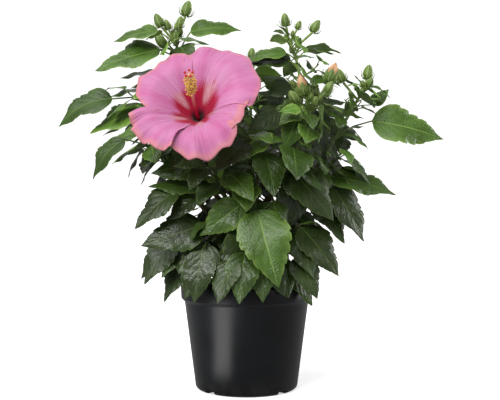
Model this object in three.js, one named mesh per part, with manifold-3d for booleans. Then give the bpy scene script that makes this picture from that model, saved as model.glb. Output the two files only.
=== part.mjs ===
// A hibiscus shrub in its nursery pot: pot, soil, woody stem, boughs, leafy shoots with their buds,
// and one large open bloom.
// Millimetres, +Z up, -Y in front, origin at the centre of the pot's flat underside.
// A heading is a compass angle in degrees: 0 right, 90 back, 180 left, 270 front.
// A pitch is degrees above level.
import * as THREE from "three";
import { mergeVertices } from "three/addons/utils/BufferGeometryUtils.js";
import Module from "manifold-3d";

const wasm = await Module();
wasm.setup();

// ---------- driving sizes ----------
const clearance = 0.3; // between solids that touch on the real plant

const pot = {
  height: 103,
  rimRadius: 65,
  rimHeight: 14,
  rimDraft: 0.7, // how much narrower the rim is at its lower edge
  shoulder: 2.6, // height of the slope from the rim in to the body
  bodyTopRadius: 61.2,
  bodyFootRadius: 50.4,
  footRound: 5,
  wall: 1.6,
  floor: 2,
  lip: 1, // bevel of the rim's outer edge
  notches: 4, // drainage notches in the foot
  notchFrom: 38, // radius where a notch starts
  notchWidth: 12,
  notchHeight: 3.4,
  sides: 36,
};

const soilLevel = 92;
const soilCrown = { radius: 22, fall: 1.5 }; // flat in the middle, lower at the wall

const trunk = {
  path: [
    [0, 0, soilLevel - 3],
    [-3, 3, 122],
    [0, -1, 150],
    [-5, 2, 178],
  ],
  radii: [10.5, 7.4, 6.9, 6.4, 5.8, 5.2, 4.6], // root flare first
  sides: 9,
};

// Each bough leaves the trunk at a share of its height and ends where its shoot's foliage begins.
const boughs = {
  bloom: { from: 0.99, end: [-44, 0, 252], radius: 3.7 },
  right: { from: 0.96, end: [46, 6, 250], radius: 3.7 },
  left: { from: 0.5, end: [-60, -26, 204], radius: 3.3 },
  left_upper: { from: 0.8, end: [-62, 8, 234], radius: 3.0 },
  front_left: { from: 0.62, end: [-20, -34, 188], radius: 2.8 },
  centre: { from: 0.9, end: [12, -32, 212], radius: 3.0 },
  right_front: { from: 0.72, end: [35, -36, 212], radius: 3.1 },
  right_low: { from: 0.42, end: [56, -12, 186], radius: 3.0 },
  right_outer: { from: 0.56, end: [72, 0, 222], radius: 3.2 },
  back_left: { from: 0.66, end: [-28, 36, 202], radius: 3.1 },
  back_right: { from: 0.76, end: [31, 37, 206], radius: 3.1 },
  back: { from: 0.88, end: [2, 33, 224], radius: 3.1 },
};
const boughTaper = 0.66; // a bough's end radius as a share of its foot
const shootTaper = 0.55;
const knee = { run: 0.55, rise: 0.38 }; // where a limb turns to lean out, as shares of its span
const boughSides = 6;
const shootSides = 6;
const twigSides = 5;
const twigLeaves = 2;

const leafShape = {
  width: 0.62, // of the blade's length
  thick: 0.016, // of the blade's length, at the midrib
  stalkRadius: 1.05,
  widest: 0.62, // below 1 it brings the widest place nearer the base
  fold: 12, // degrees that each half rises from the midrib
  outward: 0.8, // how far the upper side leans from straight up towards the light
  sink: 0.6, // how deep a stalk's point is rooted in its stem
  guard: 1.5, // space kept round a blade
  stalkGuard: 0.5, // and round its stalk
};
const budGirth = 0.3; // a bud's radius as a share of its length
const budStalkRadius = 1;
const goldenAngle = 137.5;
// The leaves' rule. A pair is a mean and how far it may differ; angles are in degrees.
const rule = {
  firstLeaf: 0.12, // share up the stem
  spiral: 14, // how far a leaf may leave the golden spiral
  lightPull: 0.35, // how far its heading turns outwards, to the light
  shrink: 0.38, // how much shorter the leaf at the tip is
  length: 0.12,
  width: 0.1,
  stalk: { foot: 0.44, tip: 0.28 }, // of the blade's length
  stalkPitch: { foot: 8, tip: 42, jitter: 8 },
  pitch: 9,
  arch: [34, 16],
  fold: [12, 10],
  roll: 18,
};
const twigRule = {
  firstLeaf: 0.3,
  from: 0.2, // share up the stem of the lowest, and over how much of it they are spread
  spread: 0.55,
  shift: 0.06,
  turn: [58, 20], // from outwards, to the left and right by turns
  pitch: [24, 12],
  reach: [0.5, 0.1], // of the shoot's leaf size
  leafSize: 0.8,
  radius: { foot: 0.6, tip: 0.36 }, // of the shoot's
};
// A leaf without room is turned and then dipped by these, in this order.
const roomTurns = [0, 8, -8, 16, -16, 25, -25, 34, -34, 45, -45];
const roomDips = [0, -9, 9, -18];

// One mass of foliage for each shoot. tip is the stem's end; leaves and twigs are how many the rule adds;
// size is the longest blade; lift and sag are the blades' pitch at the stem's tip and foot.
// outline holds the leaves that give the crown its edge:
// [share up the stem, heading, stalk length, stalk pitch, blade pitch, blade length, tilt to the front, arch].
// buds: [share up the stem, heading, stalk pitch, stalk length, bud length].
const shoots = {
  top_left: {
    bough: "bloom", tip: [-69, -10, 340], radius: 2.4, leaves: 3, twigs: 1, phase: 70,
    size: 58, lift: 0, sag: -35, seed: 11,
    outline: [
      [0.95, 184, 23, 39, 0, 46, 30, 30],
      [0.8, 192, 22, 28, -7, 67, 42, 24],
      [0.66, 184, 26, 4, 0, 38, 20, 20],
      [0.88, 356, 23, 60, 20, 52, 32, 40],
    ],
    buds: [
      [1.0, 20, 68, 26, 17],
      [0.97, 196, 48, 21, 15],
      [0.88, 205, 22, 13, 17],
      [0.93, 250, 62, 7, 9],
      [1.0, 300, 80, 10, 8],
    ],
  },
  left_upper: {
    bough: "left_upper", tip: [-96, 2, 284], radius: 2.2, leaves: 3, twigs: 1, phase: 40,
    size: 62, lift: 5, sag: -30, seed: 23,
    outline: [
      [1.0, 196, 36, 0, 0, 64, 48, 66],
      [0.85, 188, 23, 49, -5, 34, 25, 20],
      [0.6, 202, 23, 35, -17, 62, 45, 22],
    ],
    buds: [],
  },
  left_middle: {
    bough: "left", tip: [-90, -32, 234], radius: 2.2, leaves: 3, twigs: 0, phase: 300,
    size: 60, lift: -10, sag: -45, seed: 31,
    outline: [
      [1.0, 200, 28, 19, -27, 51, 26, 60],
      [0.75, 180, 31, 49, -8, 30, 30, 20],
      [0.9, 240, 8, 36, -46, 28, 10, 16],
    ],
    buds: [],
  },
  front_left: {
    bough: "front_left", tip: [-30, -44, 214], radius: 2.0, leaves: 3, twigs: 0, phase: 200,
    size: 56, lift: 0, sag: -40, seed: 43,
    outline: [
      [1.0, 190, 12, 24, -3, 50, 34, 24],
      [0.5, 186, 10, 0, 6, 58, 6, 14],
      [0.3, 196, 44, 0, -22, 54, 22, 24],
      [0.15, 205, 30, -4, -36, 34, 30, 20],
    ],
    buds: [],
  },
  centre_front: {
    bough: "centre", tip: [2, -50, 246], radius: 2.0, leaves: 3, twigs: 1, phase: 20,
    size: 54, lift: 10, sag: -35, seed: 57,
    outline: [
      [0.75, 232, 14, 10, -24, 48, 0, 26],
      [0.5, 292, 14, 10, -46, 50, 0, 24],
    ],
    buds: [
      [0.5, 220, 10, 18, 9],
      [0.3, 262, 10, 16, 8],
    ],
  },
  right_front: {
    bough: "right_front", tip: [64, -32, 276], radius: 2.3, leaves: 3, twigs: 1, phase: 250,
    size: 52, lift: -10, sag: -40, seed: 61,
    outline: [
      [0.04, 322, 7, 10, -40, 66, 30, 24],
      [0.85, 225, 14, 10, -60, 40, 0, 20],
      [0.95, 300, 10, 0, -50, 42, -50, 40],
      [0.7, 340, 29, 18, -26, 38, 25, 26],
      [0.9, 200, 22, 9, -37, 26, 20, 20],
      [0.45, 200, 36, 56, -26, 38, 20, 30],
    ],
    buds: [
      [0.93, 196, 66, 15, 21],
      [1.0, 12, 56, 26, 21],
      [1.0, 330, 40, 18, 12],
      [0.88, 190, 40, 16, 14],
    ],
  },
  right_middle: {
    bough: "right_low", tip: [84, -18, 224], radius: 2.2, leaves: 3, twigs: 0, phase: 160,
    size: 60, lift: -20, sag: -50, seed: 73,
    outline: [
      [0.7, 345, 8, -30, -4, 66, 34, 30],
      [0.6, 326, 16, -34, -50, 62, 30, 24],
      [0.2, 312, 8, -20, -42, 58, 30, 24],
    ],
    buds: [],
  },
  right_outer: {
    bough: "right_outer", tip: [116, 0, 296], radius: 2.1, leaves: 2, twigs: 1, phase: 120,
    size: 46, lift: 10, sag: -30, seed: 87,
    outline: [
      [0.4, 352, 36, 21, -5, 74, 58, 26],
      [0.15, 330, 16, 70, -26, 70, 45, 26],
      [0.75, 10, 20, 9, 46, 24, 20, 10],
      [0.8, 350, 8, 30, 10, 20, 20, 20],
    ],
    buds: [
      [1.0, 30, 70, 8, 16],
      [0.96, 300, 20, 8, 12],
      [0.85, 180, 50, 22, 16],
    ],
  },
  top_right: {
    bough: "right", tip: [42, 8, 345], radius: 2.3, leaves: 3, twigs: 1, phase: 90,
    size: 54, lift: 10, sag: -30, seed: 97,
    outline: [
      [0.8, 186, 12, 36, 6, 44, 34, 40],
      [0.8, 352, 10, 50, 10, 32, 10, 28],
      [0.7, 178, 12, 50, 12, 46, 46, 30],
      [0.5, 10, 12, 40, 30, 27, 30, 20],
    ],
    buds: [
      [1.0, 200, 76, 12, 14],
      [0.98, 20, 56, 14, 10],
      [0.9, 8, 42, 26, 15],
    ],
  },
  back_left: {
    bough: "back_left", tip: [-78, 96, 284], radius: 2.3, leaves: 9, twigs: 2, phase: 130,
    size: 66, lift: 5, sag: -40, seed: 103,
    outline: [],
    buds: [[1.0, 120, 66, 16, 13]],
  },
  back_right: {
    bough: "back_right", tip: [82, 92, 280], radius: 2.3, leaves: 9, twigs: 2, phase: 20,
    size: 66, lift: 5, sag: -40, seed: 113,
    outline: [],
    buds: [[1.0, 60, 60, 18, 14], [0.96, 200, 60, 12, 10]],
  },
  back_top: {
    bough: "back", tip: [4, 84, 318], radius: 2.3, leaves: 9, twigs: 2, phase: 60,
    size: 64, lift: 10, sag: -35, seed: 127,
    outline: [],
    buds: [[1.0, 80, 70, 18, 14]],
  },
  centre_top: {
    from: 0.99, tip: [12, 0, 272], radius: 2.4, leaves: 6, twigs: 0, phase: 40,
    size: 56, lift: 5, sag: -35, seed: 179,
    outline: [],
    buds: [],
  },
  mid_front: {
    from: 0.7, tip: [2, -38, 200], radius: 2.0, leaves: 4, twigs: 0, phase: 200,
    size: 54, lift: -20, sag: -45, seed: 181,
    outline: [],
    buds: [],
  },
  mid_left: {
    from: 0.52, tip: [-50, 14, 188], radius: 2.2, leaves: 4, twigs: 0, phase: 150,
    size: 60, lift: -15, sag: -45, seed: 191,
    outline: [],
    buds: [],
  },
  mid_right: {
    from: 0.58, tip: [52, 22, 188], radius: 2.2, leaves: 4, twigs: 0, phase: 330,
    size: 60, lift: -15, sag: -45, seed: 193,
    outline: [],
    buds: [],
  },
  mid_back_left: {
    from: 0.64, tip: [-26, 60, 194], radius: 2.2, leaves: 5, twigs: 0, phase: 80,
    size: 62, lift: -15, sag: -45, seed: 197,
    outline: [],
    buds: [],
  },
  mid_back_right: {
    from: 0.5, tip: [26, 62, 190], radius: 2.2, leaves: 5, twigs: 0, phase: 30,
    size: 62, lift: -15, sag: -45, seed: 199,
    outline: [],
    buds: [],
  },
  low_front: {
    from: 0.5, tip: [8, -50, 178], radius: 2.2, leaves: 3, twigs: 0, phase: 170,
    size: 56, lift: -35, sag: -55, seed: 131,
    outline: [
      [0.95, 288, 9, 10, -52, 78, 14, 30],
      [0.8, 335, 14, 20, -56, 50, 20, 26],
      [0.62, 258, 16, 10, -62, 66, 20, 20],
      [1.0, 205, 14, 20, -34, 50, 30, 30],
    ],
    buds: [],
  },
  low_front_left: {
    from: 0.3, tip: [-36, -42, 156], radius: 2.2, leaves: 3, twigs: 0, phase: 210,
    size: 58, lift: -35, sag: -55, seed: 139,
    outline: [
      [1.0, 204, 8, 50, -14, 62, 44, 30],
      [0.8, 240, 14, -6, -54, 58, 30, 26],
      [0.6, 276, 14, -10, -66, 60, 20, 20],
    ],
    buds: [],
  },
  low_left: {
    from: 0.24, tip: [-54, -4, 152], radius: 2.2, leaves: 2, twigs: 0, phase: 150,
    size: 60, lift: -35, sag: -60, seed: 149,
    outline: [
      [1.0, 190, 10, 0, -30, 64, 35, 50],
      [0.7, 214, 28, -30, -45, 44, 25, 24],
    ],
    buds: [],
  },
  low_right: {
    from: 0.34, tip: [46, -30, 156], radius: 2.2, leaves: 2, twigs: 0, phase: 300,
    size: 60, lift: -35, sag: -58, seed: 151,
    outline: [
      [1.0, 328, 8, 30, -40, 60, 30, 34],
      [0.6, 308, 34, -14, -37, 46, 25, 24],
      [0.5, 285, 20, -20, -50, 46, 20, 20],
    ],
    buds: [],
  },
  low_back_left: {
    from: 0.2, tip: [-38, 56, 152], radius: 2.2, leaves: 6, twigs: 0, phase: 100,
    size: 64, lift: -30, sag: -58, seed: 163,
    outline: [],
    buds: [],
  },
  low_back_right: {
    from: 0.38, tip: [42, 54, 156], radius: 2.2, leaves: 6, twigs: 0, phase: 10,
    size: 64, lift: -30, sag: -58, seed: 173,
    outline: [],
    buds: [],
  },
};

const bloom = {
  throat: [-43.5, -60, 259], // where the petals meet
  lean: 34, // degrees that the flower faces up from level
  turn: 10, // degrees that it faces left of the front
  petalThick: 1.3,
  petalLap: 1.6, // how far a side edge rises over its neighbour, or sinks under it
  petalPleat: 1.2, // height of the soft folds across a petal
  petalRings: 6,
  petalMeridians: 12,
  funnelDepth: 33,
  flare: 50, // radius where the funnel has opened out
  throatRadius: 2.5,
  curl: 6, // how far the rim bends back
  curlFrom: 40, // radius where it starts to
  columnLength: 61,
  columnRadius: 2.3,
  anthers: 18,
  stigmas: 5,
  calyxLength: 17,
  stalkFrom: 0.8, // share up its bough
  stalkBend: 16, // length of the stalk that follows the bloom's axis
  bracts: 6,
};

// Each petal's middle angle round the flower from its right, how far it spreads anticlockwise and
// clockwise of that, its reach, how round its two shoulders are and how much its reach tapers towards
// them, its lift over its neighbours, and whether each side edge lies over its neighbour (1) or under it (-1).
const petals = [
  { middle: 142, spread: [56, 44], reach: 62, round: [0.34, 0.24], taper: [0.2, -0.16], lift: 0, over: [-1, 1] },
  { middle: 214, spread: [48, 22.5], reach: 60, round: [0.14, 0.04], taper: [0, 0], lift: 1, over: [1, 1] },
  { middle: 290, spread: [46, 40], reach: 64.5, round: [0.26, 0.04], taper: [0.16, 0.2], lift: 0, over: [1, -1] },
  { middle: 352, spread: [46, 44], reach: 51, round: [0.1, 0.12], taper: [0.05, -0.04], lift: -2, over: [-1, -1] },
  { middle: 62, spread: [46, 70], reach: 70, round: [0.34, 0.1], taper: [-0.1, 0.19], lift: 0, over: [-1, 1] },
];

// ---------- helpers ----------
const up = new THREE.Vector3(0, 0, 1);
const right = new THREE.Vector3(1, 0, 0);
const point = (p) => new THREE.Vector3(p[0], p[1], p[2]);
const radians = THREE.MathUtils.degToRad;

function compass(heading, pitch) {
  const h = radians(heading);
  const p = radians(pitch);
  return new THREE.Vector3(Math.cos(h) * Math.cos(p), Math.sin(h) * Math.cos(p), Math.sin(p));
}

function makeRandom(seed) {
  let state = Math.imul(seed, 2654435761) >>> 0;
  return () => {
    state = (Math.imul(state, 1664525) + 1013904223) >>> 0;
    return state / 4294967296;
  };
}

// A geometry as a manifold solid with its faces pointing out.
function solidOf(geometry) {
  const bare = new THREE.BufferGeometry().setAttribute("position", geometry.getAttribute("position"));
  if (geometry.index) bare.setIndex(geometry.index);
  const merged = mergeVertices(bare, 1e-4);
  const faces = [];
  for (let i = 0; i < merged.index.count; i += 3) {
    const [a, b, c] = merged.index.array.subarray(i, i + 3);
    if (a !== b && b !== c && c !== a) faces.push([a, b, c]);
  }
  const vertProperties = merged.attributes.position.array;
  const build = (order) => {
    const triVerts = new Uint32Array(faces.flatMap(order));
    return new wasm.Manifold(new wasm.Mesh({ numProp: 3, vertProperties, triVerts }));
  };
  const made = build((face) => face);
  return made.volume() > 0 ? made : build(([a, b, c]) => [a, c, b]);
}

function geometryOf(solid) {
  const { numProp, vertProperties, triVerts } = solid.getMesh();
  const positions = new Float32Array((vertProperties.length / numProp) * 3);
  for (let i = 0; i < positions.length / 3; i += 1) {
    positions.set(vertProperties.subarray(i * numProp, i * numProp + 3), i * 3);
  }
  return new THREE.BufferGeometry()
    .setAttribute("position", new THREE.BufferAttribute(positions, 3))
    .setIndex(new THREE.BufferAttribute(triVerts, 1));
}

const fuse = (solids) => solids.reduce((all, next) => all.add(next));
const largest = (solid) => solid.decompose().sort((a, b) => b.volume() - a.volume())[0];

// Moves every vertex of a geometry to where place() puts it.
function remap(geometry, place) {
  const position = geometry.getAttribute("position");
  const v = new THREE.Vector3();
  for (let i = 0; i < position.count; i += 1) {
    place(v.fromBufferAttribute(position, i));
    position.setXYZ(i, v.x, v.y, v.z);
  }
  return geometry;
}

// A closed tapering tube along a curve: radiusAt takes the share along it.
function tube(curve, radiusAt, sides, steps) {
  const start = curve.getTangent(0);
  const hinge = new THREE.Vector3().crossVectors(start, curve.getTangent(1));
  if (hinge.length() < 0.05) hinge.crossVectors(start, Math.abs(start.z) < 0.9 ? up : right);
  const geometry = new THREE.CylinderGeometry(1, 1, 1, sides, steps);
  return solidOf(
    remap(geometry, (v) => {
      const share = v.y + 0.5;
      const along = curve.getTangent(share);
      const side = hinge.clone().addScaledVector(along, -along.dot(hinge)).normalize();
      const other = new THREE.Vector3().crossVectors(along, side);
      const [a, b] = [v.x * radiusAt(share), v.z * radiusAt(share)];
      v.copy(curve.getPoint(share)).addScaledVector(side, a).addScaledVector(other, b);
    }),
  );
}

const taper = (from, to) => (t) => from + (to - from) * t;
const plus = (radiusAt, gap) => (t) => radiusAt(t) + gap;

// A frame of unit vectors: forward, side and normal. The normal leans from up towards the light outside.
function bladeFrame(forward, base, roll) {
  const outward = new THREE.Vector3(base.x, base.y, 0).normalize();
  const wanted = up.clone().addScaledVector(outward, leafShape.outward);
  const normal = wanted.addScaledVector(forward, -forward.dot(wanted)).normalize();
  normal.applyAxisAngle(forward, radians(roll));
  return { forward, side: new THREE.Vector3().crossVectors(normal, forward), normal };
}

// The blade's width at a share of its length, as a share of its greatest: ovate, with a drawn-out tip.
const outline = (t) => Math.sin(Math.PI * t ** leafShape.widest) ** 0.9 * (1 - 0.22 * t * t);

// A point of a blade: t along it, u across it from -1 to 1, and rise above its middle surface.
function bladePoint(leaf, t, u, rise) {
  const arch = radians(leaf.arch);
  const bend = arch * t;
  const half = 0.5 * leaf.width * outline(t) * Math.abs(u);
  const lift = half * Math.sin(radians(leaf.fold)) + rise;
  const across = Math.sign(u) * half * Math.cos(radians(leaf.fold));
  const run = (leaf.length * Math.sin(bend)) / arch + lift * Math.sin(bend);
  const height = (-leaf.length * (1 - Math.cos(bend))) / arch + lift * Math.cos(bend);
  return leaf.base
    .clone()
    .addScaledVector(leaf.frame.forward, run)
    .addScaledVector(leaf.frame.side, across)
    .addScaledVector(leaf.frame.normal, height);
}

// A sphere's meridians and rings drawn out along a form: place(ring, u, w) gives each vertex, where
// ring counts from one pole to the other, and (u, w) goes round the section as a unit vector.
function skin(meridians, rings, place) {
  return solidOf(
    remap(new THREE.SphereGeometry(1, meridians, rings), (v) => {
      const polar = Math.acos(THREE.MathUtils.clamp(v.y, -1, 1));
      const turn = Math.atan2(v.z, v.x);
      const ring = Math.round((polar / Math.PI) * rings);
      const pole = ring % rings === 0;
      v.copy(place(ring, pole ? 0 : Math.cos(turn), pole ? 0 : Math.sin(turn)));
    }),
  );
}

const bladeStations = [0, 0.18, 0.42, 0.72, 1];

// A blade alone, grown by a guard all round.
function bladeSolid(leaf, guard) {
  const grown = { ...leaf, width: leaf.width + 2 * guard, length: leaf.length + guard };
  const thick = leafShape.thick * leaf.length + 2 * guard;
  return skin(4, bladeStations.length - 1, (ring, u, w) =>
    bladePoint(grown, bladeStations[ring], Math.round(u), 0.5 * thick * Math.round(w)),
  );
}

// The space of a stalk, from a share of its length outwards.
function stalkSolid(leaf, from, guard) {
  const start = leaf.foot.clone().lerp(leaf.base, from);
  return tube(new THREE.LineCurve3(start, leaf.base), () => leafShape.stalkRadius + guard, 3, 1);
}

// A whole leaf: four meridians that run from inside the stem, up the stalk and out round the blade.
function leafSolid(leaf) {
  const along = leaf.base.clone().sub(leaf.foot).normalize();
  const { side, normal } = leaf.frame;
  const stalkRing = (at, radius, u, w) =>
    at.clone().addScaledVector(side, radius * u).addScaledVector(normal, radius * w);
  const thick = leafShape.thick * leaf.length;
  return skin(4, bladeStations.length + 1, (ring, u, w) => {
    if (ring === 0) return leaf.foot.clone().addScaledVector(along, -leafShape.sink);
    if (ring === 1) return stalkRing(leaf.foot, leafShape.stalkRadius, u, w);
    if (ring === 2) return stalkRing(leaf.base, leafShape.stalkRadius * 0.8, u, w);
    return bladePoint(leaf, bladeStations[ring - 2], Math.round(u), 0.5 * thick * Math.round(w));
  });
}

// ---------- pot and soil ----------
const material = (color, roughness) => new THREE.MeshStandardMaterial({ color, roughness, metalness: 0 });
const finish = {
  pot: material(0x1c1d1f, 0.38),
  soil: material(0x35261c, 0.95),
  bark: material(0x6a5844, 0.85),
  foliage: material(0x2f5a22, 0.45),
  petal: material(0xe884b8, 0.55),
  column: material(0xe9b54a, 0.6),
  calyx: material(0x5c8a3c, 0.6),
};

function wallRadius(z) {
  const share = (z - pot.footRound) / (pot.height - pot.rimHeight - pot.shoulder - pot.footRound);
  return pot.bodyFootRadius + (pot.bodyTopRadius - pot.bodyFootRadius) * share;
}

function makePot() {
  const rimFoot = pot.height - pot.rimHeight;
  const bodyTop = rimFoot - pot.shoulder;
  const foot = pot.bodyFootRadius - pot.footRound;
  const inside = pot.rimRadius - pot.wall - pot.rimDraft;
  const profile = new THREE.Path();
  profile.moveTo(0, 0);
  profile.lineTo(foot, 0);
  profile.absarc(foot, pot.footRound, pot.footRound, -Math.PI / 2, 0, false);
  profile.lineTo(pot.bodyTopRadius, bodyTop);
  profile.lineTo(pot.rimRadius - pot.rimDraft, rimFoot);
  profile.lineTo(pot.rimRadius, pot.height - pot.lip);
  profile.lineTo(pot.rimRadius - pot.lip, pot.height);
  profile.lineTo(inside, pot.height);
  profile.lineTo(inside, rimFoot + pot.lip);
  profile.lineTo(pot.bodyTopRadius - pot.wall, bodyTop);
  profile.lineTo(wallRadius(pot.footRound) - pot.wall, pot.footRound);
  profile.lineTo(foot, pot.floor);
  profile.lineTo(0, pot.floor);
  const shell = solidOf(new THREE.LatheGeometry(profile.getPoints(3), pot.sides).rotateX(Math.PI / 2));
  const reach = 2 * (pot.bodyFootRadius - pot.notchFrom);
  const cutters = [];
  for (let i = 0; i < pot.notches; i += 1) {
    const box = new THREE.BoxGeometry(reach, pot.notchWidth, 2 * pot.notchHeight);
    box.translate(pot.notchFrom + reach / 2, 0, 0).rotateZ(Math.PI * (0.25 + (2 * i) / pot.notches));
    cutters.push(solidOf(box));
  }
  return shell.subtract(fuse(cutters));
}

// The root ball fills the pot, a clearance inside its wall.
function makeSoil() {
  const rimFoot = pot.height - pot.rimHeight;
  const gap = pot.wall + clearance + 0.1;
  const foot = pot.bodyFootRadius - pot.footRound - 1;
  const inside = pot.rimRadius - pot.rimDraft - gap - 0.7;
  const overRound = pot.footRound + 3;
  const profile = [
    [0, pot.floor + clearance],
    [foot, pot.floor + clearance],
    [wallRadius(overRound) - gap, overRound],
    [pot.bodyTopRadius - gap, rimFoot - pot.shoulder],
    [inside, rimFoot + 0.4],
    [inside, soilLevel - soilCrown.fall],
    [soilCrown.radius, soilLevel],
    [0, soilLevel],
  ].map(([r, z]) => new THREE.Vector2(r, z));
  return solidOf(new THREE.LatheGeometry(profile, pot.sides - 4).rotateX(Math.PI / 2));
}

// ---------- limbs ----------
const trunkCurve = new THREE.CatmullRomCurve3(trunk.path.map(point));

function trunkRadius(t) {
  const at = t * (trunk.radii.length - 1);
  const i = Math.min(Math.floor(at), trunk.radii.length - 2);
  return trunk.radii[i] + (trunk.radii[i + 1] - trunk.radii[i]) * (at - i);
}

function trunkSolid(gap) {
  const top = new THREE.SphereGeometry(trunkRadius(1) + gap, trunk.sides, 6).rotateX(Math.PI / 2);
  const end = trunkCurve.getPoint(1);
  const cap = solidOf(top.translate(end.x, end.y, end.z - 1));
  const whole = tube(trunkCurve, plus(trunkRadius, gap), trunk.sides, 8).add(cap);
  return whole.trimByPlane([0, 0, 1], soilLevel + clearance);
}

// A limb rises steeply at first and then leans out to its end.
function limbCurve(from, to) {
  const bend = from.clone().lerp(to, knee.run);
  bend.z = from.z + (to.z - from.z) * knee.rise;
  return new THREE.QuadraticBezierCurve3(from, bend, to);
}

const boughCurves = {};
for (const [name, bough] of Object.entries(boughs)) {
  boughCurves[name] = limbCurve(trunkCurve.getPoint(bough.from), point(bough.end));
}

const boughRadius = (bough) => taper(bough.radius, bough.radius * boughTaper);

function makeBoughs() {
  const made = {};
  let taken = trunkSolid(clearance);
  for (const [name, bough] of Object.entries(boughs)) {
    const solid = tube(boughCurves[name], boughRadius(bough), boughSides, 5);
    made[name] = largest(solid.subtract(taken));
    taken = taken.add(tube(boughCurves[name], plus(boughRadius(bough), clearance), boughSides, 5));
  }
  return { made, taken };
}

// A shoot's stem goes on from its bough's end, or leaves the trunk.
function shootCurve(shoot) {
  const tip = point(shoot.tip);
  if (!shoot.bough) return limbCurve(trunkCurve.getPoint(shoot.from), tip);
  const bough = boughCurves[shoot.bough];
  const start = bough.getPoint(1).addScaledVector(bough.getTangent(1), clearance);
  const bend = start.clone().addScaledVector(bough.getTangent(1), start.distanceTo(tip) * 0.45);
  return new THREE.QuadraticBezierCurve3(start, bend, tip);
}

const shootRadius = (shoot) => taper(shoot.radius, shoot.radius * shootTaper);

// ---------- foliage ----------
// Where a leaf's stalk leaves its stem, where its blade starts, and how the blade lies.
function settle(stem, leaf) {
  const foot = stem.getPoint(leaf.at);
  const rise = compass(leaf.stalkHeading, leaf.stalkPitch);
  const base = foot.clone().addScaledVector(rise, leaf.stalk);
  return { ...leaf, foot, base, frame: bladeFrame(compass(leaf.heading, leaf.pitch), base, leaf.roll) };
}

// A leaf of the crown's outline. Its tilt turns the upper side to the front.
function outlineLeaf([at, heading, stalk, stalkPitch, pitch, length, tilt, arch]) {
  const roll = tilt * Math.sign(Math.cos(radians(heading)));
  const width = length * leafShape.width;
  const { fold } = leafShape;
  return { at, heading, pitch, length, stalk, stalkPitch, arch, roll, width, fold, stalkHeading: heading };
}

const mix = ({ foot, tip }, share) => foot + (tip - foot) * share;
const headingOf = (v) => THREE.MathUtils.radToDeg(Math.atan2(v.y, v.x));

// The rule: leaves go up a stem in a golden spiral, smaller and less drooping towards its tip.
function ruleLeaves(stem, count, firstLeaf, habit, random) {
  const jitter = (range) => (random() * 2 - 1) * range;
  const leaves = [];
  for (let i = 0; i < count; i += 1) {
    const at = firstLeaf + ((1 - firstLeaf) * (i + 0.5)) / count;
    const spiral = habit.phase + i * goldenAngle + jitter(rule.spiral);
    const outwards = headingOf(stem.getPoint(at)) - spiral;
    const heading = spiral + rule.lightPull * (THREE.MathUtils.euclideanModulo(outwards + 180, 360) - 180);
    const length = habit.size * (1 - rule.shrink * at * at) * (1 + jitter(rule.length));
    leaves.push({
      at,
      heading,
      stalkHeading: heading,
      pitch: mix({ foot: habit.sag, tip: habit.lift }, at) + jitter(rule.pitch),
      length,
      width: length * leafShape.width * (1 + jitter(rule.width)),
      stalk: length * mix(rule.stalk, at),
      stalkPitch: mix(rule.stalkPitch, at) + jitter(rule.stalkPitch.jitter),
      arch: rule.arch[0] + jitter(rule.arch[1]),
      fold: rule.fold[0] + jitter(rule.fold[1]),
      roll: jitter(rule.roll),
    });
  }
  return leaves;
}

// The rule for a side twig: it leaves the stem on the outer side of the crown and turns up.
function ruleTwig(shoot, index, random) {
  const near = ([mean, range]) => mean + (random() * 2 - 1) * range;
  const share = (index + 0.5) / shoot.twigs;
  const start = shoot.curve.getPoint(twigRule.from + twigRule.spread * share + near([0, twigRule.shift]));
  const side = index % 2 === 0 ? 1 : -1;
  const rise = compass(headingOf(start) + side * near(twigRule.turn), near(twigRule.pitch));
  const reach = shoot.size * near(twigRule.reach);
  const bend = start.clone().addScaledVector(rise, reach * 0.55);
  const end = bend.clone().addScaledVector(rise.clone().addScaledVector(up, 0.7).normalize(), reach * 0.5);
  return new THREE.QuadraticBezierCurve3(start, bend, end);
}

const obstacles = [];

function addObstacle(mass, stem, solid) {
  const { min, max } = solid.boundingBox();
  obstacles.push({ mass, stem, solid, min, max });
}

function meets(solid, ignored) {
  const { min, max } = solid.boundingBox();
  return obstacles.some(
    (other) =>
      !ignored(other) &&
      [0, 1, 2].every((k) => min[k] < other.max[k] && max[k] > other.min[k]) &&
      !solid.intersect(other.solid).isEmpty(),
  );
}

// Whether a leaf stands clear: its blade of everything, and its stalk of all but its own foot.
function isFree(shoot, stem, leaf) {
  if (meets(bladeSolid(leaf, leafShape.guard), () => false)) return false;
  if (meets(stalkSolid(leaf, 0, leafShape.stalkGuard), (other) => other.mass === shoot.name)) return false;
  return !meets(stalkSolid(leaf, 0.3, leafShape.stalkGuard), (other) => other.stem === stem.name);
}

// Turns and dips a leaf until it is clear of everything, or gives up.
function findRoom(shoot, stem, wanted) {
  for (const turn of roomTurns) {
    for (const dip of roomDips) {
      const leaf = settle(stem.curve, {
        ...wanted,
        heading: wanted.heading + turn,
        stalkHeading: wanted.stalkHeading + turn * 0.5,
        pitch: wanted.pitch + dip,
      });
      if (isFree(shoot, stem, leaf)) return leaf;
    }
  }
  return null;
}

// A bud on its stalk, as one skin: it swells from the stalk and closes to a blunt tip.
const budProfile = [0.4, 1, 0.8, 0];

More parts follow.
